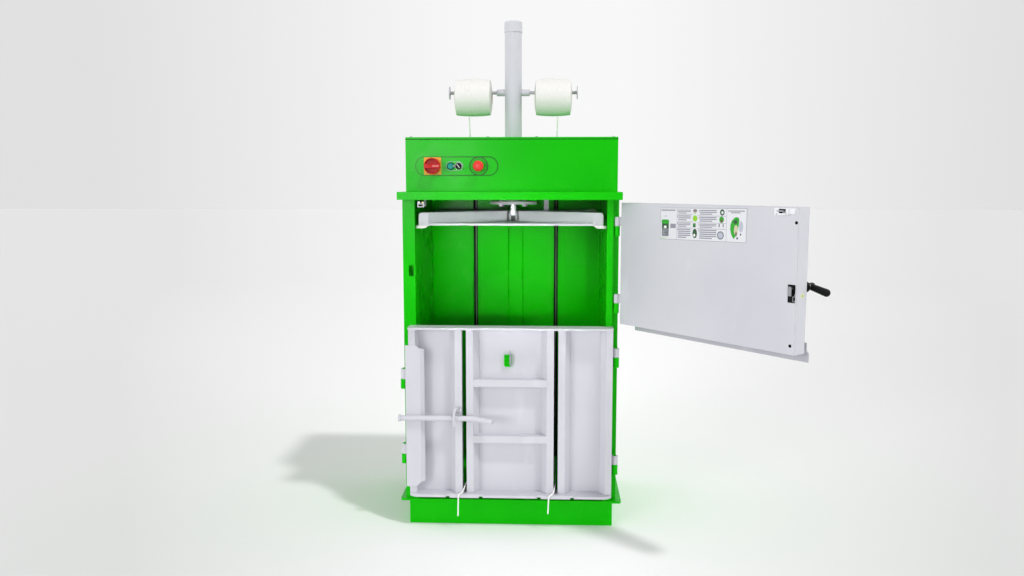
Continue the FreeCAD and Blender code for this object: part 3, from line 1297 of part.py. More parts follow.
switch = node(body("interlock"), "interlock_switch")
SWITCH_FRONT = 22
SWITCH_DEEP = 40
SLOT_HALF_X = 8
SLOT_HALF_Z = 3.5
SLOT_DEEP = 14
switch_y = front_y + SWITCH_FRONT
pad(switch, "XZ_Plane", switch_y, switch_y + SWITCH_DEEP,
    rectangle(switch_x - 13, switch_x + 13, key_z - 8, key_z + 16))
pocket(switch, "XZ_Plane", switch_y, switch_y + SLOT_DEEP,
       rectangle(switch_x - SLOT_HALF_X, switch_x + SLOT_HALF_X, key_z - SLOT_HALF_Z, key_z + SLOT_HALF_Z))

bracket = body("switch_holder")
pad(bracket, "XZ_Plane", switch_y + 4, switch_y + SWITCH_DEEP - 4,
    folded([(switch_x + 13, key_z - 4), (switch_x + 13, d.wall_top_z), (switch_x + 28, d.wall_top_z)], -3.0))

limit = body("limit")
LIMIT_X = 120
LIMIT_Y = 30
pad(limit, "YZ_Plane", LIMIT_X, LIMIT_X + 20.0,
    folded([(LIMIT_Y, platen_bottom_z + d.platen_plate + 14), (LIMIT_Y, d.wall_top_z),
            (LIMIT_Y + 25.0, d.wall_top_z)], -3.0))
node(group("switch_brackets", [bracket, limit]), "switch_brackets")

# ---------------------------------------------------------------- controls

bezels = []
for centre_x in (d.button_x, d.selector_x):
    ring = body("bezel")
    pad(ring, "XZ_Plane", box_front_y - d.bezel_height, box_front_y,
        (-centre_x, control_z, d.bezel_r), (-centre_x, control_z, d.button_hole_r))
    bezels.append(ring)
STOP_COLLAR_R = 16
collar_ring = body("stop_collar")
pad(collar_ring, "XZ_Plane", box_front_y - d.bezel_height, box_front_y,
    (-d.stop_x, control_z, STOP_COLLAR_R), (-d.stop_x, control_z, d.button_hole_r))
bezels.append(collar_ring)
node(group("control_bezels", bezels), "control_bezels")

PLATE_THICK = 5
switch_plate = node(body("plate_switch"), "main_switch_plate")
half_switch = d.switch_plate / 2
SWITCH_ROUND = 4
pad(switch_plate, "XZ_Plane", box_front_y - PLATE_THICK, box_front_y,
    [(-d.switch_x - half_switch + SWITCH_ROUND, control_z - half_switch),
     (-d.switch_x + half_switch - SWITCH_ROUND, control_z - half_switch, SWITCH_ROUND),
     (-d.switch_x + half_switch, control_z - half_switch + SWITCH_ROUND),
     (-d.switch_x + half_switch, control_z + half_switch - SWITCH_ROUND, SWITCH_ROUND),
     (-d.switch_x + half_switch - SWITCH_ROUND, control_z + half_switch),
     (-d.switch_x - half_switch + SWITCH_ROUND, control_z + half_switch, SWITCH_ROUND),
     (-d.switch_x - half_switch, control_z + half_switch - SWITCH_ROUND),
     (-d.switch_x - half_switch, control_z - half_switch + SWITCH_ROUND, SWITCH_ROUND)],
    (-d.switch_x, control_z, SWITCH_SHAFT_R + d.running_fit))

DIAL_R = 30
DIAL_THICK = 7
DIAL_RIM = 3
BAR_HALF = 8
BAR_OUT = 16
dial_back = box_front_y - PLATE_THICK - d.knuckle_gap
dial_face = dial_back - DIAL_THICK
dial_front = dial_face - BAR_OUT
well_r = DIAL_R - DIAL_RIM
well_half = math.sqrt(well_r * well_r - BAR_HALF * BAR_HALF)
dial = node(body("dial"), "main_switch_knob")
pad(dial, "XZ_Plane", dial_front, dial_back, (-d.switch_x, control_z, DIAL_R))
for up in (-1, 1):
    pocket(dial, "XZ_Plane", dial_front, dial_face,
           [(-d.switch_x - up * well_half, control_z + up * BAR_HALF),
            (-d.switch_x + up * well_half, control_z + up * BAR_HALF, well_r),
            (-d.switch_x, control_z + up * well_r, well_r)])
pad(dial, "XZ_Plane", dial_back, box_front_y + d.wall_sheet + 20, (-d.switch_x, control_z, SWITCH_SHAFT_R))

plunger_r = d.button_hole_r - d.running_fit
PLUNGER_IN = 22
start = node(body("start"), "start_button")
pad(start, "XZ_Plane", box_front_y - d.bezel_height - 3, box_front_y + PLUNGER_IN,
    (-d.button_x, control_z, plunger_r))

selector = node(body("selector"), "selector_knob")
pad(selector, "XZ_Plane", box_front_y - d.bezel_height - 4, box_front_y + PLUNGER_IN,
    (-d.selector_x, control_z, plunger_r))
POINTER_HALF = 3.2
POINTER_OUT = 9
reach = 9.5 * math.cos(math.radians(45))
wide = POINTER_HALF * math.cos(math.radians(45))
pad(selector, "XZ_Plane", box_front_y - d.bezel_height - 4 - POINTER_OUT, box_front_y - d.bezel_height - 4,
    [(-d.selector_x - reach + wide, control_z - reach - wide),
     (-d.selector_x + reach + wide, control_z + reach - wide),
     (-d.selector_x + reach - wide, control_z + reach + wide),
     (-d.selector_x - reach - wide, control_z - reach + wide)])

STOP_STEM = 14
STOP_HEAD = 12
STOP_FLARE = 3
STOP_DOME = 4.5
stop_face = box_front_y - d.bezel_height - STOP_STEM
stop_front = stop_face - STOP_HEAD
dome_r = (d.stop_head_r * d.stop_head_r + STOP_DOME * STOP_DOME) / (2 * STOP_DOME)
stop = node(body("stop", x=-d.stop_x, z=control_z), "emergency_stop")
revolve(stop, "XY_Plane", "V_Axis",
        [(0.0, box_front_y + PLUNGER_IN), (plunger_r, box_front_y + PLUNGER_IN), (plunger_r, stop_face),
         (d.stop_head_r - STOP_FLARE, stop_face), (d.stop_head_r, stop_face - STOP_FLARE),
         (d.stop_head_r, stop_front + STOP_DOME, -dome_r), (0.0, stop_front)])

# ---------------------------------------------------------------- inside the control box

INSIDE_GAP = 20
TANK_WIDTH = 160
TANK_DEPTH = 280
TANK_HEIGHT = 150
tank_right = half_box - d.wall_sheet - INSIDE_GAP
tank_rear = rear_y - d.wall_sheet - 4 * INSIDE_GAP
tank = node(body("tank"), "oil_tank")
pad(tank, "XY_Plane", ledge_top_z, ledge_top_z + TANK_HEIGHT,
    rectangle(tank_right - TANK_WIDTH, tank_right, tank_rear - TANK_DEPTH, tank_rear))

PUMP_SIDE = 160
PUMP_HEIGHT = 60
MOTOR_R = 62
MOTOR_HEIGHT = 120
pump_left = -tank_right
pump_front = front_y + d.box_setback + 8 * INSIDE_GAP
motor_x = pump_left + PUMP_SIDE / 2
motor_y = pump_front + PUMP_SIDE / 2
motor = node(body("motor"), "pump_motor")
pad(motor, "XY_Plane", ledge_top_z, ledge_top_z + PUMP_HEIGHT,
    rectangle(pump_left, pump_left + PUMP_SIDE, pump_front, pump_front + PUMP_SIDE))
pad(motor, "XY_Plane", ledge_top_z + PUMP_HEIGHT, ledge_top_z + PUMP_HEIGHT + MOTOR_HEIGHT,
    (motor_x, motor_y, MOTOR_R))

CASE_HALF = 90
CASE_DEPTH = 80
CASE_HEIGHT = 130
case_back = rear_y - d.wall_sheet
electrics = node(body("electrics"), "contactor_case")
pad(electrics, "XZ_Plane", case_back - CASE_DEPTH, case_back,
    rectangle(-CASE_HALF, CASE_HALF, ledge_top_z + INSIDE_GAP,
              ledge_top_z + INSIDE_GAP + CASE_HEIGHT))

HOSE_R = 9
hose_x = float(pump_left) + PUMP_SIDE
hose_y = float(motor_y)
hose_z = float(ledge_top_z) + PUMP_HEIGHT / 2
hose_shape, hose_length, hose_radii = bar_along(
    [(hose_x, hose_y, hose_z), (hose_x + 35, hose_y, hose_z), (hose_x + 90, hose_y + 6, hose_z + 4),
     (hose_x + 130, hose_y + 20, hose_z + 10), (hose_x + 167, hose_y + 2, hose_z + 16),
     (-float(d.tube_r) * 0.6, float(d.tube_r) * 0.6, hose_z + 18)], HOSE_R)
hose_cut = Part.makeCylinder(float(d.tube_r), float(d.box_height), FreeCAD.Vector(0, 0, float(ledge_top_z)))
node(shaped("hose", hose_shape.cut(hose_cut)), "pressure_hose")

# ---------------------------------------------------------------- straps

STRAP_START_Z = 1555.0
STRAP_CHANNEL_Y = 277.0
STRAP_GROOVE_Z = 117.7


def strap_route(side, slot_point, over_guide, tail_top, tail_end):
    """From the roll through lid, ledge, rear channel and floor groove, and out at the front slot."""
    x = float(d.strap_x) * side
    upper = [(173.0 * side, 1.5, STRAP_START_Z), (170.5 * side, 8.0, 1478.0), (170.0 * side, 50.0, 1400.0),
             (x, 190.0, 1318.0), (x, STRAP_CHANNEL_Y, 1294.0), (x, STRAP_CHANNEL_Y, STRAP_GROOVE_Z),
             (x, -160.0, STRAP_GROOVE_Z)]
    return upper + [slot_point, over_guide, tail_top, tail_end]


STRAP_RADII = [150.0, 120.0, 150.0, 25.0, 40.0, 80.0, 45.0, 15.0, 15.0]
STRAP_FRONTS = (
    ("left_strap", -1, (-166.5, -258.0, 170.0), (-176.0, -323.0, 150.0), (-192.0, -326.0, 139.0),
     (-194.0, -324.5, 58.0)),
    ("right_strap", 1, (170.5, -258.0, 166.0), (163.0, -323.0, 149.0), (146.0, -326.0, 139.0),
     (143.0, -324.5, 71.0)))
for name, side, slot_point, over_guide, tail_top, tail_end in STRAP_FRONTS:
    strap_shape, strap_length, _ = bar_along(
        strap_route(side, slot_point, over_guide, tail_top, tail_end), d.strap_d / 2, STRAP_RADII)
    node(shaped(name, strap_shape), name)
    section = math.pi * float(d.strap_d) ** 2 / 4
    print(f"{name}: length {strap_length:.0f} mm, radii {STRAP_RADII}, "
          f"volume over section x length {strap_shape.Volume / (section * strap_length):.4f}")

doc.recompute()

# ---------------------------------------------------------------- check and write

faulty = [item.Label for item in doc.Objects if "Invalid" in item.State or "Error" in item.State]
if faulty:
    raise ValueError(f"not built: {faulty}")
os.makedirs("parts", exist_ok=True)
for item in nodes:
    shape = item.Shape
    if shape.isNull() or not shape.isValid() or not shape.Solids:
        raise ValueError(f"{item.Label} has no valid solid")
    shape.exportStep(f"parts/{item.Label}.step")
    print(f"{item.Label:26s} solids {len(shape.Solids)}  volume {shape.Volume / 1000:.0f} cm3")
print(len(nodes), "nodes")
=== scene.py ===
import bpy
import bmesh
import json
import math
from mathutils import Matrix, Vector


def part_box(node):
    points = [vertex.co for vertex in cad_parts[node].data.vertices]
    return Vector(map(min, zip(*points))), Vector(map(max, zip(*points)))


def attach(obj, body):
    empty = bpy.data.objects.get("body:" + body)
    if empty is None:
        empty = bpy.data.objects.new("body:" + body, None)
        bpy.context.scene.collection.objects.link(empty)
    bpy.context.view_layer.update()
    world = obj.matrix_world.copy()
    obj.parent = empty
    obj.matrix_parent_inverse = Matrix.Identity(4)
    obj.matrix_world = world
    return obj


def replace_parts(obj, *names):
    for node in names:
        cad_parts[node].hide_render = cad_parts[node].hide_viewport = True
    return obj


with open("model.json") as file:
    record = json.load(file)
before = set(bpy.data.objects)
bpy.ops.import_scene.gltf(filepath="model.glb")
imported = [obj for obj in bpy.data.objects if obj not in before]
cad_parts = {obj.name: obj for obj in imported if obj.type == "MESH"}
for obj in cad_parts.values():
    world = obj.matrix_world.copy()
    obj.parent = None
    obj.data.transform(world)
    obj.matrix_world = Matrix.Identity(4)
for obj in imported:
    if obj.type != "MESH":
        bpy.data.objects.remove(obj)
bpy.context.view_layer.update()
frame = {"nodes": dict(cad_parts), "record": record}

# ------------------------------------------------------------------ camera
# The camera stands where the photograph was taken. A least-squares fit of the baler's edges to
# the photograph's gave its place, its turn to the left, its downward tilt and its lens.

CAMERA_PLACE = (0.1501, -3.5301, 1.3006)
CAMERA_LEFT_TURN = 2.52
CAMERA_TILT = 6.76
CAMERA_LENS = 31.29

camera = bpy.data.objects.new("camera", bpy.data.cameras.new("camera"))
camera.location = CAMERA_PLACE
camera.rotation_euler = (math.radians(90 - CAMERA_TILT), 0, math.radians(CAMERA_LEFT_TURN))
camera.data.lens = CAMERA_LENS
camera.data.sensor_width = 36
bpy.context.scene.collection.objects.link(camera)
bpy.context.scene.camera = camera
bpy.context.scene.view_settings.view_transform = "Standard"

# ------------------------------------------------------------------ painted steel
# Frame, doors, platen and cylinder are welded steel under baked powder coat, bright green or pale
# grey; the strap channels are black, and the hidden tank, pump and case dark grey. Uniform values
# sit on the shader's own sockets; drift and relief come from noise in object coordinates, in metres.


def linear(code):
    """An sRGB hex colour as the linear colour that a shader takes."""
    parts = [int(code[i:i + 2], 16) / 255 for i in (0, 2, 4)]
    return [p / 12.92 if p <= 0.04045 else ((p + 0.055) / 1.055) ** 2.4 for p in parts] + [1]


def finish(name, roughness, metallic=0.0, coat=0.0, sheen=0.0, specular=0.5):
    """A new material: its node tree and its shader."""
    material = bpy.data.materials.new(name)
    material.use_nodes = True
    tree = material.node_tree
    shader = tree.nodes["Principled BSDF"]
    shader.inputs["Roughness"].default_value = roughness
    shader.inputs["Metallic"].default_value = metallic
    shader.inputs["Coat Weight"].default_value = coat
    shader.inputs["Coat Roughness"].default_value = 0.2
    shader.inputs["Sheen Weight"].default_value = sheen
    shader.inputs["Specular IOR Level"].default_value = specular
    return material, tree, shader


def add(tree, kind, **values):
    """One node, with its socket values or, for a socket, a link."""
    item = tree.nodes.new(kind)
    for key, value in values.items():
        key = key.replace("_", " ")
        if isinstance(value, bpy.types.NodeSocket):
            tree.links.new(value, item.inputs[key])
        else:
            item.inputs[key].default_value = value
    return item


def place(tree, stretch=(1, 1, 1)):
    """Object coordinates, stretched along the axes."""
    source = tree.nodes.new("ShaderNodeTexCoord").outputs["Object"]
    return add(tree, "ShaderNodeMapping", Vector=source, Scale=stretch).outputs["Vector"]


def noise(tree, scale, detail=3.0, stretch=(1, 1, 1)):
    """A noise factor whose scale is in cells a metre."""
    item = add(tree, "ShaderNodeTexNoise", Vector=place(tree, stretch), Scale=scale, Detail=detail)
    return item.outputs["Fac"]


def span(tree, factor, low, high, to_low=0.0, to_high=1.0):
    """A factor's range mapped to another range."""
    item = tree.nodes.new("ShaderNodeMapRange")
    tree.links.new(factor, item.inputs["Value"])
    for key, value in (("From Min", low), ("From Max", high), ("To Min", to_low), ("To Max", to_high)):
        item.inputs[key].default_value = value
    return item.outputs["Result"]


def blend(tree, factor, first, second):
    """Two colours mixed by a factor; each is a hex code or a socket."""
    item = tree.nodes.new("ShaderNodeMix")
    item.data_type = "RGBA"
    tree.links.new(factor, item.inputs["Factor"])
    for socket, colour in ((item.inputs[6], first), (item.inputs[7], second)):
        if isinstance(colour, str):
            socket.default_value = linear(colour)
        else:
            tree.links.new(colour, socket)
    return item.outputs[2]


def relief(tree, shader, *layers, rounding=0.0):
    """Bump layers of (height socket, distance in metres, strength) over softly rounded edges."""
    normal = None
    if rounding:
        bevel = tree.nodes.new("ShaderNodeBevel")
        bevel.samples = 4
        bevel.inputs["Radius"].default_value = rounding
        normal = bevel.outputs["Normal"]
    for height, distance, strength in layers:
        bump = add(tree, "ShaderNodeBump", Height=height, Distance=distance, Strength=strength)
        if normal:
            tree.links.new(normal, bump.inputs["Normal"])
        normal = bump.outputs["Normal"]
    tree.links.new(normal, shader.inputs["Normal"])


def calculate(tree, operation, *values):
    """A maths node on sockets and numbers."""
    item = tree.nodes.new("ShaderNodeMath")
    item.operation = operation
    for socket, value in zip(item.inputs, values):
        if isinstance(value, bpy.types.NodeSocket):
            tree.links.new(value, socket)
        else:
            socket.default_value = value
    return item.outputs[0]


def edge_wear_and_highlight(tree, radius):
    """1 at sharp edges and 0 on flats: how far a rounded normal turns from the true one."""
    bevel = tree.nodes.new("ShaderNodeBevel")
    bevel.samples = 4
    bevel.inputs["Radius"].default_value = radius
    true = tree.nodes.new("ShaderNodeNewGeometry").outputs["True Normal"]
    dot = tree.nodes.new("ShaderNodeVectorMath")
    dot.operation = "DOT_PRODUCT"
    tree.links.new(bevel.outputs["Normal"], dot.inputs[0])
    tree.links.new(true, dot.inputs[1])
    return span(tree, dot.outputs["Value"], 0.995, 0.80)


def powder_coat(name, base, deep, worn_and_highlight, roughness, specular, rounding=0.0012):
    """Baked powder coat: orange peel, slow colour drift, rubbed patches, and edges lighter from wear and
    painted highlight.
    """
    material, tree, shader = finish(name, roughness, specular=specular)
    drift = span(tree, noise(tree, 2.3, 4), 0.38, 0.62)
    colour = blend(tree, drift, base, deep)
    rubs = span(tree, noise(tree, 9, 6, (1, 1, 0.35)), 0.60, 0.74, 0.0, 0.35)
    colour = blend(tree, rubs, colour, worn_and_highlight)
    # Sharp edges take the worn colour: partly rubbed wear, partly a painted highlight along folds and bends.
    edges = edge_wear_and_highlight(tree, 0.0022)
    broken = span(tree, noise(tree, 45, 4), 0.42, 0.6, 0.15, 0.75)
    both = calculate(tree, "MULTIPLY", edges, broken)
    tree.links.new(blend(tree, both, colour, worn_and_highlight), shader.inputs["Base Color"])
    gloss = span(tree, noise(tree, 6, 5), 0.3, 0.7, roughness - 0.06, roughness + 0.08)
    tree.links.new(gloss, shader.inputs["Roughness"])
    relief(tree, shader, (noise(tree, 420, 2), 0.00007, 0.4), (noise(tree, 1500, 1), 0.00003, 0.3),
           rounding=rounding)
    return material


# Each coat's fourth colour is worn paint on rubbed patches and, on edges, also a painted highlight.
green_paint = powder_coat("green_paint", "12BE02", "0CB601", "34CC14", 0.24, 0.09)
grey_paint = powder_coat("grey_paint", "CECED5", "C8C8D0", "EEEEF2", 0.36, 0.3, 0.0025)
# The upper door's lip is given a darker grey than the door.
lip_darker_grey = powder_coat("lip_darker_grey", "B6B6BD", "B0B0B8", "DADADF", 0.36, 0.3, 0.0025)
key_paint = powder_coat("key_paint", "E9E9EE", "E2E2E8", "F8F8FA", 0.3, 0.4)
black_paint = powder_coat("black_paint", "0C0D0E", "08090A", "2A2B2E", 0.5, 0.2)
tank_paint = powder_coat("tank_paint", "4A4D52", "404348", "6A6D72", 0.42, 0.4)

# ------------------------------------------------------------------ bare and plated steel
# The piston rod and one bezel are chromed, bolts, latch and small fittings zinc-plated, and the
# strap cutter's blade is ground steel.


def bare_metal(name, base, deep, roughness, stretch):
    """Bare or plated metal: fine drawn lines and faint cloudy patches."""
    material, tree, shader = finish(name, roughness, metallic=1.0)
    lines = noise(tree, 120, 3, stretch)
    cloud = span(tree, noise(tree, 14, 4), 0.35, 0.65)
    tree.links.new(blend(tree, cloud, base, deep), shader.inputs["Base Color"])
    tree.links.new(span(tree, lines, 0.3, 0.7, roughness - 0.07, roughness + 0.1), shader.inputs["Roughness"])
    relief(tree, shader, (lines, 0.00003, 0.4), rounding=0.0006)
    return material


zinc = bare_metal("zinc", "C9CBCF", "A9ADB3", 0.34, (6, 6, 1))
chrome = bare_metal("chrome", "E4E6EA", "D2D5DA", 0.14, (1, 1, 14))
blade_steel = bare_metal("blade_steel", "B9BCC2", "9A9EA5", 0.28, (12, 1, 1))

# ------------------------------------------------------------------ plastics and rubber
# Switches, buttons, lock case and door handle are moulded, the platen's guide shoes are white
# plastic, and the hidden pressure hose is rubber.


def plastic(name, base, deep, roughness, coat=0.0):
    """Moulded plastic: fine spark-eroded grain with slight shade drift."""
    material, tree, shader = finish(name, roughness, coat=coat, specular=0.15)
    drift = span(tree, noise(tree, 30, 3), 0.35, 0.65)
    tree.links.new(blend(tree, drift, base, deep), shader.inputs["Base Color"])
    gloss = span(tree, noise(tree, 60, 3), 0.3, 0.7, roughness - 0.05, roughness + 0.07)
    tree.links.new(gloss, shader.inputs["Roughness"])
    relief(tree, shader, (noise(tree, 2200, 2), 0.00005, 0.5), rounding=0.0008)
    return material


black_plastic = plastic("black_plastic", "121214", "0C0C0E", 0.42)
yellow_plastic = plastic("yellow_plastic", "F0B040", "E8A430", 0.35)
white_plastic = plastic("white_plastic", "F1F1EE", "E4E4E0", 0.40)
red_plastic = plastic("red_plastic", "CC0A08", "BE0604", 0.34)
stop_plastic = plastic("stop_plastic", "EE423C", "E23834", 0.26, 0.1)
teal_plastic = plastic("teal_plastic", "1EA094", "188E84", 0.25, 0.1)
deep_teal_plastic = plastic("deep_teal_plastic", "0E5A4A", "0A4C3E", 0.28)
rubber = plastic("rubber", "161616", "0E0E0E", 0.62)
pointer_plastic = plastic("pointer_plastic", "EDEDED", "E2E2E2", 0.35)

# ------------------------------------------------------------------ straps
# Two 5 mm polyester cords, woven of crossing strands. With this last finish made, each CAD piece
# takes the finish of its slot; the blade, the interlock key and the upper door's lip take others.


def braided(name, base, deep, pitch):
    """Polyester cord: crossing twisted strands, with painted shade where it runs in the rear channels."""
    material, tree, shader = finish(name, 0.62, sheen=0.35)
    heights = []
    for turn in (0.7, -0.7):
        wave = tree.nodes.new("ShaderNodeTexWave")
        turned = add(tree, "ShaderNodeMapping", Vector=place(tree), Rotation=(turn, turn * 0.6, turn))
        tree.links.new(turned.outputs["Vector"], wave.inputs["Vector"])
        wave.inputs["Scale"].default_value = pitch
        wave.inputs["Distortion"].default_value = 1.5
        heights.append(wave.outputs["Fac"])
    high = calculate(tree, "MAXIMUM", *heights)
    behind = add(tree, "ShaderNodeSeparateXYZ", Vector=place(tree)).outputs["Y"]
    unshaded_strands = blend(tree, high, deep, base)
    # Painted shade: the cord's colour darkens to grey-green 7C8A7A from Y 0.20 to 0.24, in the dim rear
    # channels.
    tree.links.new(blend(tree, span(tree, behind, 0.20, 0.24), unshaded_strands, "7C8A7A"), shader.inputs["Base Color"])
    relief(tree, shader, (high, 0.0004, 0.6))
    return material


strap_fibre = braided("strap_fibre", "FAFAF8", "E4E3DE", 110)

SLOTS = {
    "green_paint": green_paint, "grey_paint": grey_paint, "black_paint": black_paint, "zinc": zinc,
    "chrome": chrome, "black_plastic": black_plastic, "yellow_plastic": yellow_plastic,
    "white_plastic": white_plastic, "red_plastic": red_plastic, "green_plastic": teal_plastic,
    "strap_fibre": strap_fibre, "tank_paint": tank_paint, "rubber": rubber}
for row in frame["record"]["subparts"]:
    mesh = frame["nodes"][row["node"]].data
    mesh.materials.clear()
    mesh.materials.append(SLOTS[row["material_slot"]])
for name, material in (("cutter_blade", blade_steel), ("interlock_key", key_paint),
                       ("upper_door_lip", lip_darker_grey)):
    frame["nodes"][name].data.materials[0] = material

# ------------------------------------------------------------------ strap rolls
# A cross-wound barrel of white cord: a crowned body whose turns stand as fine ridges, domed
# ends with the edges of the layers, and the open core that hangs on its arm.

ROLL_R = 0.0725
ROLL_CROWN = 0.0045
ROLL_BULGE = 0.006
ROLL_CORE_R = 0.025
ROLL_WIDTH = 0.145
ROLL_Z = 1.6293
ROLL_TURNS = 44
GROOVE_DEPTH = 0.00045
LAYER_STEP = 0.0002
WINDING_INSET = 0.0001
DOME_STEPS = 22


def spun(made, profile, matrix, steps=64, index=0):
    """A profile of (along, radius) points spun round its axis, X, and then set in place."""
    before = set(made.faces)
    row = [made.verts.new((along, 0, radius)) for along, radius in profile]
    edges = [made.edges.new(ends) for ends in zip(row, row[1:])]
    bmesh.ops.spin(made, geom=row + edges, cent=(0, 0, 0), axis=(1, 0, 0), angle=math.tau, steps=steps,
                   use_merge=True)
    faces = [face for face in made.faces if face not in before]
    for face in faces:
        face.material_index = index
        face.smooth = True
    bmesh.ops.transform(made, matrix=matrix, verts=list({vert for face in faces for vert in face.verts}))
    bmesh.ops.remove_doubles(made, verts=made.verts[:], dist=1e-6)


def piece(name, made, body, slot, *materials):
    """One finished piece from a bmesh, riding on a body; its folds over 35 degrees stay sharp."""
    bmesh.ops.recalc_face_normals(made, faces=made.faces)
    mesh = bpy.data.meshes.new(name)
    made.to_mesh(mesh)
    made.free()
    mesh.set_sharp_from_angle(angle=math.radians(35))
    for material in materials:
        mesh.materials.append(material)
    item = bpy.data.objects.new(name, mesh)
    bpy.context.scene.collection.objects.link(item)
    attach(item, body)
    return item


winding, tree, shader = finish("winding", 0.6, sheen=0.15)
strands = noise(tree, 700, 3, (1, 0.08, 0.08))
tree.links.new(blend(tree, span(tree, strands, 0.3, 0.7), "DEDDD9", "ECEBE8"), shader.inputs["Base Color"])
relief(tree, shader, (strands, 0.0002, 0.35))
layers, tree, shader = finish("layer_edges", 0.72, sheen=0.1)
grain = noise(tree, 900, 4)
tree.links.new(blend(tree, span(tree, grain, 0.3, 0.7), "BFBDB7", "E2E0DB"), shader.inputs["Base Color"])
relief(tree, shader, (grain, 0.0005, 0.7))
card, tree, shader = finish("core_card", 0.8)
pulp = noise(tree, 260, 5)
tree.links.new(blend(tree, span(tree, pulp, 0.35, 0.65), "A98F6C", "BFA685"), shader.inputs["Base Color"])
relief(tree, shader, (pulp, 0.0002, 0.5))

for name in ("left_roll", "right_roll"):
    hung = Matrix.Translation((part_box(name)[0][0], 0, ROLL_Z))
    barrel = []
    for step in range(4 * ROLL_TURNS + 1):
        t = step / (4 * ROLL_TURNS)
        crown = ROLL_CROWN * (2 * t - 1) ** 2
        groove = GROOVE_DEPTH * (0.5 + 0.5 * math.cos(math.tau * step / 4))
        along = ROLL_BULGE + (ROLL_WIDTH - 2 * ROLL_BULGE) * t
        barrel.append((along, ROLL_R - WINDING_INSET - crown - groove))
    domed = []
    for step in range(DOME_STEPS + 1):
        t = step / DOME_STEPS
        out = ROLL_BULGE * math.sin(math.pi / 2 * t) - LAYER_STEP * (step % 2)
        domed.append((out, barrel[0][1] * (1 - t) + ROLL_CORE_R * t))
    left_end = [(ROLL_BULGE - out, radius) for out, radius in domed]
    right_end = [(ROLL_WIDTH - ROLL_BULGE + out, radius) for out, radius in domed]
    made = bmesh.new()
    spun(made, barrel, hung, 96)
    spun(made, left_end, hung, 96, 1)
    spun(made, right_end, hung, 96, 1)
    spun(made, [left_end[-1], right_end[-1]], hung, 96, 2)
    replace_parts(piece(name + "_winding", made, name, "strap_fibre", winding, layers, card), name)

# ------------------------------------------------------------------ controls
# The turned pieces of the control row, by their height above the box's face: three bezels with
# rounded lips, the dished start cap, the selector with its pointer, and the stop's mushroom head.

FACE_Y = -0.178
ROW_Z = 1.3615
SWITCH_X = -0.295
BUTTON_X = -0.2275
SELECTOR_X = -0.1975
STOP_X = -0.122
STEM_END = -0.022
STEM_R = 0.0109
BORE_R = 0.011
SELECTOR_TURN = -52
ON_BOX = Matrix(((1, 0, 0, 0), (0, 0, -1, FACE_Y), (0, 1, 0, 0), (0, 0, 0, 1)))
UPRIGHT = Matrix(((0, 1, 0, 0), (0, 0, 1, 0), (1, 0, 0, 0), (0, 0, 0, 1)))


def standing(x, z=ROW_Z, at=ON_BOX):
    """Where a spun fitting goes that stands on a face: its axis points out of the face."""
    return at @ Matrix.Translation((x, z, 0)) @ UPRIGHT


def block(made, at, x0, x1, z0, z1, low, high, index=0, cut=0.0004):
    """A small block between two levels of a face, with its upper edges cut."""
    before = set(made.faces)
    middle = Matrix.Translation(((x0 + x1) / 2, (z0 + z1) / 2, (low + high) / 2))
    size = Matrix.Diagonal((x1 - x0, z1 - z0, high - low, 1))
    verts = bmesh.ops.create_cube(made, size=1, matrix=at @ middle @ size)["verts"]
    upper = {vert for vert in verts if (at.inverted() @ vert.co).z > (low + high) / 2}
    edges = {edge for vert in upper for edge in vert.link_edges if edge.other_vert(vert) in upper}
    bmesh.ops.bevel(made, geom=list(edges), offset=cut, segments=1, profile=0.5, affect="EDGES", material=-1)
    for face in made.faces:
        if face not in before:
            face.material_index = index


def bezel(made, x, outer, index, bore=BORE_R):
    """A turned ring with a rounded lip, 22 mm in the bore."""
    spun(made, [(0.0, bore), (0.0, outer), (0.0028, outer), (0.0042, outer - 0.0006),
                (0.0048, outer - 0.0016), (0.0049, bore + 0.0014), (0.0044, bore + 0.0004), (0.0036, bore),
                (0.0, bore)], standing(x), 64, index)


made = bmesh.new()
bezel(made, BUTTON_X, 0.0145, 0)
bezel(made, SELECTOR_X, 0.0145, 1)
bezel(made, STOP_X, 0.016, 2)
bezels = piece("bezels_turned", made, "frame", "chrome", deep_teal_plastic, chrome, black_plastic)
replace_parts(bezels, "control_bezels")

made = bmesh.new()
spun(made, [(STEM_END, 0), (STEM_END, STEM_R), (0.0064, STEM_R), (0.0074, 0.0105), (0.0079, 0.0096),
            (0.0078, 0.0086), (0.0070, 0.0066), (0.0066, 0.0036), (0.0065, 0)], standing(BUTTON_X))
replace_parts(piece("start_cap", made, "start_button", "green_plastic", teal_plastic), "start_button")

made = bmesh.new()
spun(made, [(STEM_END, 0), (STEM_END, STEM_R), (0.0078, STEM_R), (0.0088, 0.0102), (0.0090, 0.0092),
            (0.0090, 0)], standing(SELECTOR_X))
pointed = Matrix.Rotation(math.radians(SELECTOR_TURN), 4, "Z")
slanted = ON_BOX @ Matrix.Translation((SELECTOR_X, ROW_Z, 0)) @ pointed
block(made, slanted, -0.0098, 0.0098, -0.0033, 0.0033, 0.0089, 0.0176, 0, 0.0008)
block(made, slanted, -0.0088, 0.0088, -0.0014, 0.0014, 0.0175, 0.0179, 1, 0.0002)
knob = piece("selector_turned", made, "selector", "black_plastic", black_plastic, pointer_plastic)
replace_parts(knob, "selector_knob")

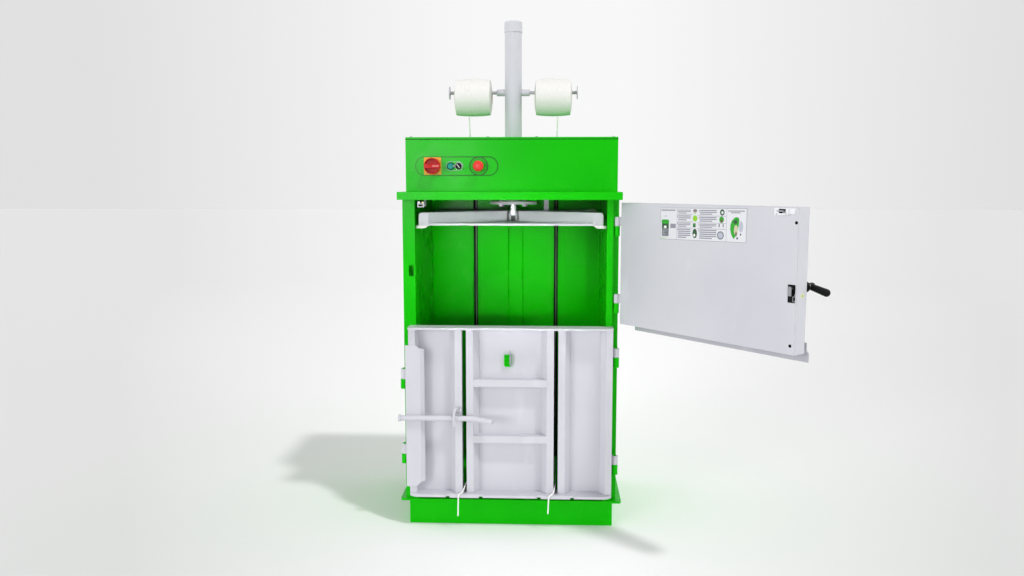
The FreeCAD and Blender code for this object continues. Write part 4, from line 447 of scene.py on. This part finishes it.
made = bmesh.new()
spun(made, [(STEM_END, 0), (STEM_END, STEM_R), (0.0190, STEM_R), (0.0190, 0.0166), (0.0198, 0.0176),
            (0.0212, 0.0191), (0.0227, 0.0198), (0.0245, 0.0200), (0.0260, 0.0198), (0.0273, 0.0191),
            (0.0284, 0.0178), (0.0292, 0.0158), (0.0299, 0.0128), (0.0304, 0.0092), (0.0308, 0.0048),
            (0.0309, 0)], standing(STOP_X), 72)
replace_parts(piece("stop_mushroom", made, "emergency_stop", "red_plastic", stop_plastic), "emergency_stop")

# ------------------------------------------------------------------ printed fields
# Flat prints are thin closed plates in plain fields of colour. Each lies on the plane of its
# matrix, which takes a place across, a height and a level above the surface.


def print_material(name, code, roughness=0.4):
    """Screen-printed ink or vinyl: a faint mottle and a satin face."""
    material, tree, shader = finish(name, roughness, specular=0.1)
    drift = span(tree, noise(tree, 180, 3), 0.3, 0.7, 0.0, 0.08)
    tree.links.new(blend(tree, drift, code, "FFFFFF"), shader.inputs["Base Color"])
    relief(tree, shader, (noise(tree, 900, 2), 0.00003, 0.3))
    return material


INKS = {
    "paper": "DCDCE2", "line": "9C9DA6", "bar": "8A8B98", "grey": "7A7C84", "green": "18A012",
    "lime": "8CC814", "dark": "0A4A20", "mauve": "8A7A7C", "brown": "6A5A3E", "beige": "C9C4A4",
    "black": "141416", "white": "EDEDED", "pine": "033A0C", "steel": "B4B8C6", "highlight_rose": "EA8C8C",
    "olive": "D8E48A"}
keys = list(INKS)
inks = [print_material("ink_" + key, code) for key, code in INKS.items()]


def raised(made, faces, at, index, low, high):
    """Flat faces moved to a low level and extruded to a high one, as closed plates on a plane."""
    under = list({vert for face in faces for vert in face.verts})
    grown = bmesh.ops.extrude_face_region(made, geom=faces, use_keep_orig=True)["geom"]
    over = [item for item in grown if isinstance(item, bmesh.types.BMVert)]
    bmesh.ops.translate(made, vec=(0, 0, low), verts=under)
    bmesh.ops.translate(made, vec=(0, 0, high), verts=over)
    bmesh.ops.transform(made, matrix=at, verts=under + over)
    for face in {face for vert in under + over for face in vert.link_faces}:
        face.material_index = index


def field(made, shape, values, at, key, low, high):
    """A plain field of ink: a box, an oval or an outline of a few points."""
    if shape == "oval":
        x, z, wide, tall = values
        oval = Matrix.Translation((x, z, 0)) @ Matrix.Diagonal((wide, tall, 1, 1))
        verts = bmesh.ops.create_circle(made, cap_ends=True, segments=48, radius=1, matrix=oval)["verts"]
        face = verts[0].link_faces[0]
    else:
        if shape == "box":
            x0, x1, z0, z1 = values
            values = ((x0, z0), (x1, z0), (x1, z1), (x0, z1))
        face = made.faces.new([made.verts.new((x, z, 0)) for x, z in values])
    raised(made, [face], at, keys.index(key), low, high)


def round_line(made, x, radius, width, length, index, high):
    """A thin line round a circle on the box, or round a stadium when it has a length."""
    edges = set()
    for reach in (radius, radius - width):
        turned = Matrix.Translation((x, ROW_Z, 0)) @ Matrix.Rotation(math.pi / 64, 4, "Z")
        ring = bmesh.ops.create_circle(made, segments=64, radius=reach, matrix=turned)["verts"]
        bmesh.ops.translate(made, vec=(length, 0, 0), verts=[vert for vert in ring if vert.co.x > x])
        edges |= {edge for vert in ring for edge in vert.link_edges}
    faces = bmesh.ops.bridge_loops(made, edges=list(edges))["faces"]
    raised(made, faces, ON_BOX, index, 0.0, high)


# A thin dark stadium line frames the row of controls; its paling from its right end to the left is
# a painted highlight. A pale one runs round the two buttons. Round the stop lie a dark ring and short
# ticks; a pale spot on the start bezel and a pale stroke on the main switch's bar are painted highlights.

LINE_LEFT_X = -0.3255
LINE_LENGTH = 0.2410
LINE_R = 0.0358
TICKS = 26

line_ink_and_highlight, tree, shader = finish("line_ink_and_highlight", 0.4, specular=0.1)
across = add(tree, "ShaderNodeSeparateXYZ", Vector=place(tree)).outputs["X"]
# Painted highlight: the dark ink pales towards the left, from X -0.10 to -0.34.
fade = blend(tree, span(tree, across, -0.34, -0.10), "3E8A34", "03360A")
speckle = span(tree, noise(tree, 300, 3), 0.3, 0.7, 0.0, 0.04)
tree.links.new(blend(tree, speckle, fade, "FFFFFF"), shader.inputs["Base Color"])

made = bmesh.new()
round_line(made, LINE_LEFT_X, LINE_R, 0.0030, LINE_LENGTH, 0, 0.0004)
piece("panel_line", made, "frame", "green_plastic", line_ink_and_highlight)

made = bmesh.new()
round_line(made, STOP_X, 0.0352, 0.0036, 0.0, keys.index("pine"), 0.0005)
for tick in range(TICKS):
    turned = Matrix.Translation((STOP_X, ROW_Z, 0)) @ Matrix.Rotation(math.tau * tick / TICKS, 4, "Z")
    field(made, "box", (0.0232, 0.0268, -0.0010, 0.0010), ON_BOX @ turned, "pine", 0.0, 0.0003)
# Painted highlight: a pale spot on the start bezel's right, where its ring catches the light.
field(made, "oval", (BUTTON_X + 0.0126, ROW_Z + 0.0005, 0.0011, 0.0050), ON_BOX, "white", 0.0048, 0.0051)
round_line(made, BUTTON_X, 0.0172, 0.0014, SELECTOR_X - BUTTON_X, keys.index("steel"), 0.0003)
piece("panel_marks", made, "frame", "green_plastic", *inks)

# Painted highlight: a pale rose stroke from the middle of the main switch's bar to its right end.
made = bmesh.new()
field(made, "box", (SWITCH_X + 0.001, SWITCH_X + 0.026, ROW_Z - 0.0019, ROW_Z + 0.0019), ON_BOX, "highlight_rose",
      0.0282, 0.0286)
piece("switch_bar_highlight", made, "main_switch", "red_plastic", *inks)

# ------------------------------------------------------------------ door label
# The printed plate on the upper door's inner face, without words: two side panels and two
# columns of plain bars, each row ruled off, with a small field of colour beside it.

DOOR_HINGE = (0.3925, -0.25)
DOOR_TURN = Matrix.Rotation(math.radians(128.75), 4, "Z")
DOOR_FACE = -0.003
LABEL_NEAR = 0.215
LABEL_FAR = 0.588
LABEL_LOW = 1.1055
LABEL_HIGH = 1.2139
LABEL_RISE = 0.0062

ON_DOOR = (Matrix.Translation((*DOOR_HINGE, 0)) @ DOOR_TURN
           @ Matrix(((-1, 0, 0, 0), (0, 0, 1, DOOR_FACE), (0, 1, 0, 0), (0, 0, 0, 1))))
ON_LABEL = ON_DOOR @ Matrix(((LABEL_FAR - LABEL_NEAR, 0, 0, LABEL_NEAR),
                             (LABEL_RISE, LABEL_HIGH - LABEL_LOW, 0, LABEL_LOW), (0, 0, 1, 0), (0, 0, 0, 1)))

# Fields are given by their shares of the label's width, from the hinge side, and of its height.

fields = [("line", "box", (0, 1, 0, 0.014)), ("line", "box", (0, 1, 0.986, 1)),
          ("line", "box", (0, 0.003, 0.014, 0.986)), ("line", "box", (0.996, 1, 0.014, 0.986)),
          ("line", "box", (0.206, 0.209, 0.014, 0.986)), ("line", "box", (0.781, 0.784, 0.014, 0.986)),
          ("bar", "box", (0.012, 0.185, 0.905, 0.945)), ("steel", "box", (0.055, 0.075, 0.72, 0.76)),
          ("green", "points", ((0.016, 0.50), (0.108, 0.50), (0.108, 0.60), (0.094, 0.63), (0.028, 0.63),
                               (0.016, 0.60))),
          ("dark", "box", (0.020, 0.106, 0.35, 0.50)), ("grey", "box", (0.020, 0.106, 0.10, 0.35)),
          ("steel", "box", (0.034, 0.090, 0.24, 0.27)), ("steel", "box", (0.034, 0.090, 0.17, 0.20)),
          ("lime", "box", (0.004, 0.080, 0.035, 0.052)), ("bar", "box", (0.126, 0.192, 0.365, 0.50)),
          ("bar", "box", (0.797, 0.975, 0.905, 0.935)), ("bar", "box", (0.83, 0.93, 0.855, 0.885)),
          ("steel", "oval", (0.940, 0.46, 0.022, 0.16)),
          ("green", "points", ((0.863, 0.10), (0.838, 0.22), (0.824, 0.38), (0.826, 0.52), (0.842, 0.64),
                               (0.868, 0.72), (0.892, 0.745), (0.915, 0.72), (0.922, 0.64), (0.915, 0.50),
                               (0.905, 0.34), (0.890, 0.20))),
          ("black", "oval", (0.903, 0.124, 0.008, 0.034)), ("black", "oval", (0.938, 0.236, 0.007, 0.026))]
columns = ((0.222, 0.372, (0.212, 0.400), ((0.972, 0.795), (0.795, 0.574), (0.574, 0.384), (0.384, 0.03))),
           (0.480, 0.672, (0.452, 0.778), ((0.972, 0.764), (0.764, 0.552), (0.552, 0.375), (0.375, 0.03))))
for start, end, rule, column in columns:
    for number, (top, foot) in enumerate(column):
        lines = 3 if number < 3 else 5
        pitch = (top - foot - 0.04) / lines
        for line in range(lines):
            shorter = 0.05 if line == lines - 1 else 0.0
            z = top - 0.028 - pitch * line
            fields.append(("bar", "box", (start, end - shorter, z - pitch * 0.55, z)))
        fields.append(("grey", "box", (start - 0.011, start - 0.006, top - 0.09, top - 0.03)))
        if number:
            fields.append(("line", "box", (rule[0], rule[1], top - 0.007, top + 0.007)))
fields += [("mauve", "oval", (0.423, 0.915, 0.024, 0.052)), ("lime", "box", (0.404, 0.436, 0.825, 0.845)),
           ("lime", "oval", (0.424, 0.68, 0.027, 0.095)), ("dark", "box", (0.401, 0.432, 0.41, 0.53)),
           ("dark", "oval", (0.424, 0.22, 0.026, 0.145)), ("dark", "oval", (0.733, 0.875, 0.025, 0.092)),
           ("green", "oval", (0.727, 0.66, 0.026, 0.095)), ("grey", "box", (0.695, 0.709, 0.435, 0.535)),
           ("grey", "box", (0.741, 0.753, 0.435, 0.535)), ("grey", "oval", (0.719, 0.19, 0.038, 0.125))]
insets = [("white", "oval", (0.062, 0.395, 0.018, 0.042)), ("green", "box", (0.412, 0.428, 0.45, 0.52)),
          ("white", "oval", (0.420, 0.165, 0.012, 0.045)), ("white", "oval", (0.735, 0.87, 0.011, 0.042)),
          ("brown", "points", ((0.712, 0.60), (0.735, 0.56), (0.742, 0.62), (0.728, 0.70))),
          ("steel", "oval", (0.719, 0.19, 0.027, 0.085)), ("beige", "oval", (0.887, 0.36, 0.021, 0.15)),
          ("brown", "oval", (0.890, 0.25, 0.010, 0.06)), ("dark", "oval", (0.880, 0.60, 0.022, 0.055))]
made = bmesh.new()
field(made, "box", (0, 1, 0, 1), ON_LABEL, "paper", 0.0, 0.0006)
for level, group in ((0.0006, fields), (0.0008, insets)):
    for key, shape, values in group:
        field(made, shape, values, ON_LABEL, key, level, level + 0.0002)
piece("door_label", made, "upper_door", "white_plastic", *inks)

# ------------------------------------------------------------------ small fittings
# Lid screws; a black strip under the lid that is painted shade for the lid's gap; black plugs in the
# door pan, the door key's housing and tongue, the plated frame of the switch behind the header, the
# lock's plated hook, a pale green cap in the door's free edge, and two pale zinc rings on the handle's
# neck that stand as painted highlights on its hub.


def dome(made, at, x, z, radius, height, base=0.0, recess=True):
    """A low dome head with a round recess, or closed, standing on a face."""
    levels = [(0.0, 0.0), (1.0, 0.0), (1.0, 0.35), (0.92, 0.62), (0.74, 0.85), (0.5, 0.97)]
    levels += [(0.34, 0.99), (0.32, 0.45), (0.0, 0.45)] if recess else [(0.0, 1.0)]
    spun(made, [(base + height * level, radius * share) for share, level in levels], standing(x, z, at), 24)


BOX_TOP_Z = 1.469
BOX_BACK_Y = 0.3
LID_SCREWS_X = (-0.377, -0.089, 0.094, 0.380)
LID_SCREW_Y = -0.166
LID_SHADE_X = (0.3970, 0.3974)
LID_SHADE_Y = (-0.1783, -0.1779)
LID_SHADE_Z = (1.4598, 1.4624)
PLUGS = ((0.7712, 1.1816), (0.7639, 0.8094))
SWITCH_FACE_Y = -0.228
HANDLE_X = 0.7625
HANDLE_Z = 0.985
KEY_X = 0.7275
KEY_Z = 1.216

made = bmesh.new()
for x in LID_SCREWS_X:
    dome(made, Matrix.Identity(4), x, LID_SCREW_Y, 0.0055, 0.0034, BOX_TOP_Z)
piece("lid_screws", made, "frame", "zinc", zinc)

# Painted shade: a thin black strip round the box just under the lid stands for the shadow in its gap.
made = bmesh.new()
for x0, x1, y0, y1 in ((-LID_SHADE_X[1], LID_SHADE_X[1], *LID_SHADE_Y), (-LID_SHADE_X[1], -LID_SHADE_X[0], LID_SHADE_Y[1], BOX_BACK_Y),
                       (*LID_SHADE_X, LID_SHADE_Y[1], BOX_BACK_Y)):
    block(made, Matrix.Identity(4), x0, x1, y0, y1, *LID_SHADE_Z, 0, 0.0001)
piece("lid_gap_painted_shade", made, "frame", "black_plastic", black_plastic)

made = bmesh.new()
for along, height in PLUGS:
    dome(made, ON_DOOR, along, height, 0.0052, 0.0016, recess=False)
piece("door_plugs", made, "upper_door", "black_plastic", black_plastic)

made = bmesh.new()
block(made, ON_DOOR, KEY_X - 0.0138, KEY_X - 0.0062, KEY_Z - 0.0068, KEY_Z + 0.0058, 0.002, 0.0100)
block(made, ON_DOOR, KEY_X + 0.0062, KEY_X + 0.0098, KEY_Z - 0.0068, KEY_Z + 0.0058, 0.002, 0.0060)
block(made, ON_DOOR, KEY_X - 0.0061, KEY_X + 0.0061, KEY_Z + 0.0018, KEY_Z + 0.0058, 0.002, 0.0085)
piece("key_housing", made, "upper_door", "black_plastic", black_plastic)

made = bmesh.new()
block(made, ON_DOOR, KEY_X - 0.0063, KEY_X + 0.0063, KEY_Z - 0.0018, KEY_Z + 0.0018, 0.0025, 0.0313)
for x in (KEY_X - 0.0225, KEY_X + 0.0120):
    dome(made, ON_DOOR, x, KEY_Z - 0.0098, 0.0022, 0.0012, 0.009)
piece("key_tongue", made, "upper_door", "zinc", zinc)

brass = bare_metal("brass", "D8B060", "C69C48", 0.25, (6, 6, 1))
ON_SWITCH = Matrix.Translation((0, SWITCH_FACE_Y - FACE_Y, 0)) @ ON_BOX

made = bmesh.new()
for x0, x1, z0, z1, index in ((-0.3462, -0.3434, 1.2095, 1.2305, 0), (-0.3266, -0.3238, 1.2095, 1.2305, 0),
                              (-0.3433, -0.3267, 1.2206, 1.2228, 0), (-0.3433, -0.3267, 1.2095, 1.2118, 0),
                              (-0.3433, -0.3380, 1.2245, 1.2305, 0), (-0.3310, -0.3267, 1.2250, 1.2290, 1)):
    block(made, ON_SWITCH, x0, x1, z0, z1, 0.0, 0.0012, index, 0.0003)
piece("switch_frame", made, "frame", "zinc", zinc, brass)

made = bmesh.new()
block(made, ON_DOOR, 0.7675, 0.7692, 0.9445, 0.9610, 0.0, 0.0015)
block(made, ON_DOOR, 0.7693, 0.7760, 0.9445, 0.9466, 0.0, 0.0015)
block(made, ON_DOOR, 0.7693, 0.7740, 0.9588, 0.9610, 0.0, 0.0015)
block(made, ON_DOOR, 0.7741, 0.7782, 0.9610, 0.9680, 0.0, 0.0015)
piece("lock_hook", made, "upper_door", "zinc", zinc)

made = bmesh.new()
free_edge = ON_DOOR @ Matrix.Translation((0.7795, 0.9613, -0.030))
spun(made, [(0, 0), (0, 0.0068), (0.0010, 0.0066), (0.0014, 0.0056), (0.0014, 0.0026)], free_edge, 40,
     keys.index("olive"))
spun(made, [(0.0014, 0.0026), (0.0008, 0.0022), (0.0008, 0)], free_edge, 40, keys.index("grey"))
piece("edge_cap", made, "upper_door", "green_plastic", *inks)

# Painted highlight: two pale zinc rings on the handle's neck, where its hub shows bright bands.
made = bmesh.new()
for near, far in ((-0.0732, -0.0700), (-0.0792, -0.0762)):
    spun(made, [(near, 0.0109), (near, 0.0114), (far, 0.0114), (far, 0.0109), (near, 0.0109)],
         standing(HANDLE_X, HANDLE_Z, ON_DOOR), 48)
piece("handle_highlight_rings", made, "door_handle", "zinc", zinc)

# ------------------------------------------------------------------ studio
# A key sun and two wide soft fills; a gloss panel for the box's left end; a gridded panel for the
# chamber, kept off the upper door. The sky lights most from the sides and is seen as a pale
# backdrop. The floor's colour is painted light: a bright fan out from the photograph's camera
# place, darker to the sides and with distance.


def aimed(name, data, at, towards):
    """A lamp at a place, turned to shine towards a point."""
    lamp = bpy.data.objects.new(name, data)
    lamp.location = at
    lamp.rotation_euler = (Vector(towards) - Vector(at)).to_track_quat("-Z", "Y").to_euler()
    bpy.context.scene.collection.objects.link(lamp)
    return lamp


def sun(name, along, strength, degrees):
    """A distant lamp that shines along a direction."""
    data = bpy.data.lights.new(name, "SUN")
    data.energy = strength
    data.angle = math.radians(degrees)
    return aimed(name, data, (0, 0, 0), along)


def panel(name, at, towards, wide, high, watts, degrees=180):
    """A soft panel; its grid keeps the light within some degrees."""
    data = bpy.data.lights.new(name, "AREA")
    data.shape = "RECTANGLE"
    data.size = wide
    data.size_y = high
    data.energy = watts
    data.spread = math.radians(degrees)
    return aimed(name, data, at, towards)


def keep_off(lamp, names):
    """Flags a lamp off some objects, as a studio does with black card."""
    flagged = bpy.data.collections.new(lamp.name + "_flags")
    for name in names:
        flagged.objects.link(bpy.data.objects[name])
    for entry in flagged.collection_objects:
        entry.light_linking.link_state = "EXCLUDE"
    lamp.light_linking.receiver_collection = flagged


sun("key", (-0.714, 0.642, -1.469), 1.15, 4)
sun("fill", (0.62, 0.78, -0.12), 1.25, 24).visible_glossy = False
sun("right_fill", (-0.80, 0.60, -0.10), 0.35, 30).visible_glossy = False
gloss_panel = panel("gloss_panel", (-0.86, -4.2, 1.45), (-0.1, -0.2, 1.36), 0.72, 0.8, 30)
gloss_panel.visible_diffuse = False
chamber_panel = panel("chamber_panel", (0.50, -3.20, 1.02), (-0.06, 0.2, 0.98), 0.5, 0.26, 0.62, 13)
chamber_panel.visible_glossy = False

world = bpy.data.worlds.new("studio")
world.use_nodes = True
bpy.context.scene.world = world
tree = world.node_tree
direction = tree.nodes.new("ShaderNodeTexCoord").outputs["Generated"]
parts = add(tree, "ShaderNodeSeparateXYZ", Vector=direction)
aside = calculate(tree, "ABSOLUTE", parts.outputs["X"])
edge_fade = span(tree, aside, 0.08, 0.45, 0.94, 0.75)
side_fade = span(tree, aside, 0.50, 1.0, 1.0, 2.9)
front_fade = span(tree, parts.outputs["Y"], -0.2, 0.6, 0.65, 1.0)
top_fade = span(tree, parts.outputs["Z"], 0.35, 0.9, 1.0, 0.62)
sides = calculate(tree, "MULTIPLY", side_fade, top_fade)
lit = calculate(tree, "MULTIPLY", edge_fade, calculate(tree, "MULTIPLY", sides, front_fade))
path = tree.nodes.new("ShaderNodeLightPath").outputs
mirrored = calculate(tree, "MAXIMUM", path["Is Glossy Ray"], path["Is Transmission Ray"])
seen = calculate(tree, "MAXIMUM", path["Is Camera Ray"], mirrored)
# Of the mix's sockets, 0 is the factor and 2 and 3 are its two numbers.
strength = tree.nodes.new("ShaderNodeMix")
for number, value in ((0, seen), (2, lit), (3, edge_fade)):
    tree.links.new(value, strength.inputs[number])
tree.nodes["Background"].inputs["Color"].default_value = linear("FFFFFF")
tree.links.new(strength.outputs[0], tree.nodes["Background"].inputs["Strength"])

FAN_X = 0.15
FAN_BACK = 3.6

floor_paint_and_light, tree, shader = finish("floor_paint_and_light", 0.85, specular=0.1)
# Painted light: the floor's white fades to grey away from a fan that starts at FAN_X, -FAN_BACK, and further
# back.
parts = add(tree, "ShaderNodeSeparateXYZ", Vector=place(tree))
aside = calculate(tree, "ABSOLUTE", calculate(tree, "SUBTRACT", parts.outputs["X"], FAN_X))
ahead = calculate(tree, "MAXIMUM", calculate(tree, "ADD", parts.outputs["Y"], FAN_BACK), 1.0)
fade = span(tree, calculate(tree, "DIVIDE", aside, ahead), 0.08, 0.50)
far = span(tree, parts.outputs["Y"], 0.5, 8.0, 0.0, 0.24)
fade = calculate(tree, "MAXIMUM", fade, calculate(tree, "ADD", calculate(tree, "MULTIPLY", fade, 0.9), far))
tone = blend(tree, fade, "FFFFFF", "E2E2E2")
tree.links.new(blend(tree, span(tree, noise(tree, 1.2, 4), 0.3, 0.7, 0.0, 0.03), tone, "E2E2E2"),
               shader.inputs["Base Color"])
made = bmesh.new()
bmesh.ops.create_grid(made, x_segments=8, y_segments=8, size=40)
floor_mesh = bpy.data.meshes.new("floor")
made.to_mesh(floor_mesh)
made.free()
floor_mesh.materials.append(floor_paint_and_light)
floor = bpy.data.objects.new("floor", floor_mesh)
bpy.context.scene.collection.objects.link(floor)
keep_off(gloss_panel, ["floor"])
keep_off(chamber_panel, ["upper_door_skin", "upper_door_liner", "upper_door_lip", "upper_door_hinges",
                         "lock_case", "interlock_key", "door_handle", "door_label", "door_plugs",
                         "key_housing", "key_tongue", "lock_hook", "edge_cap", "handle_highlight_rings"])
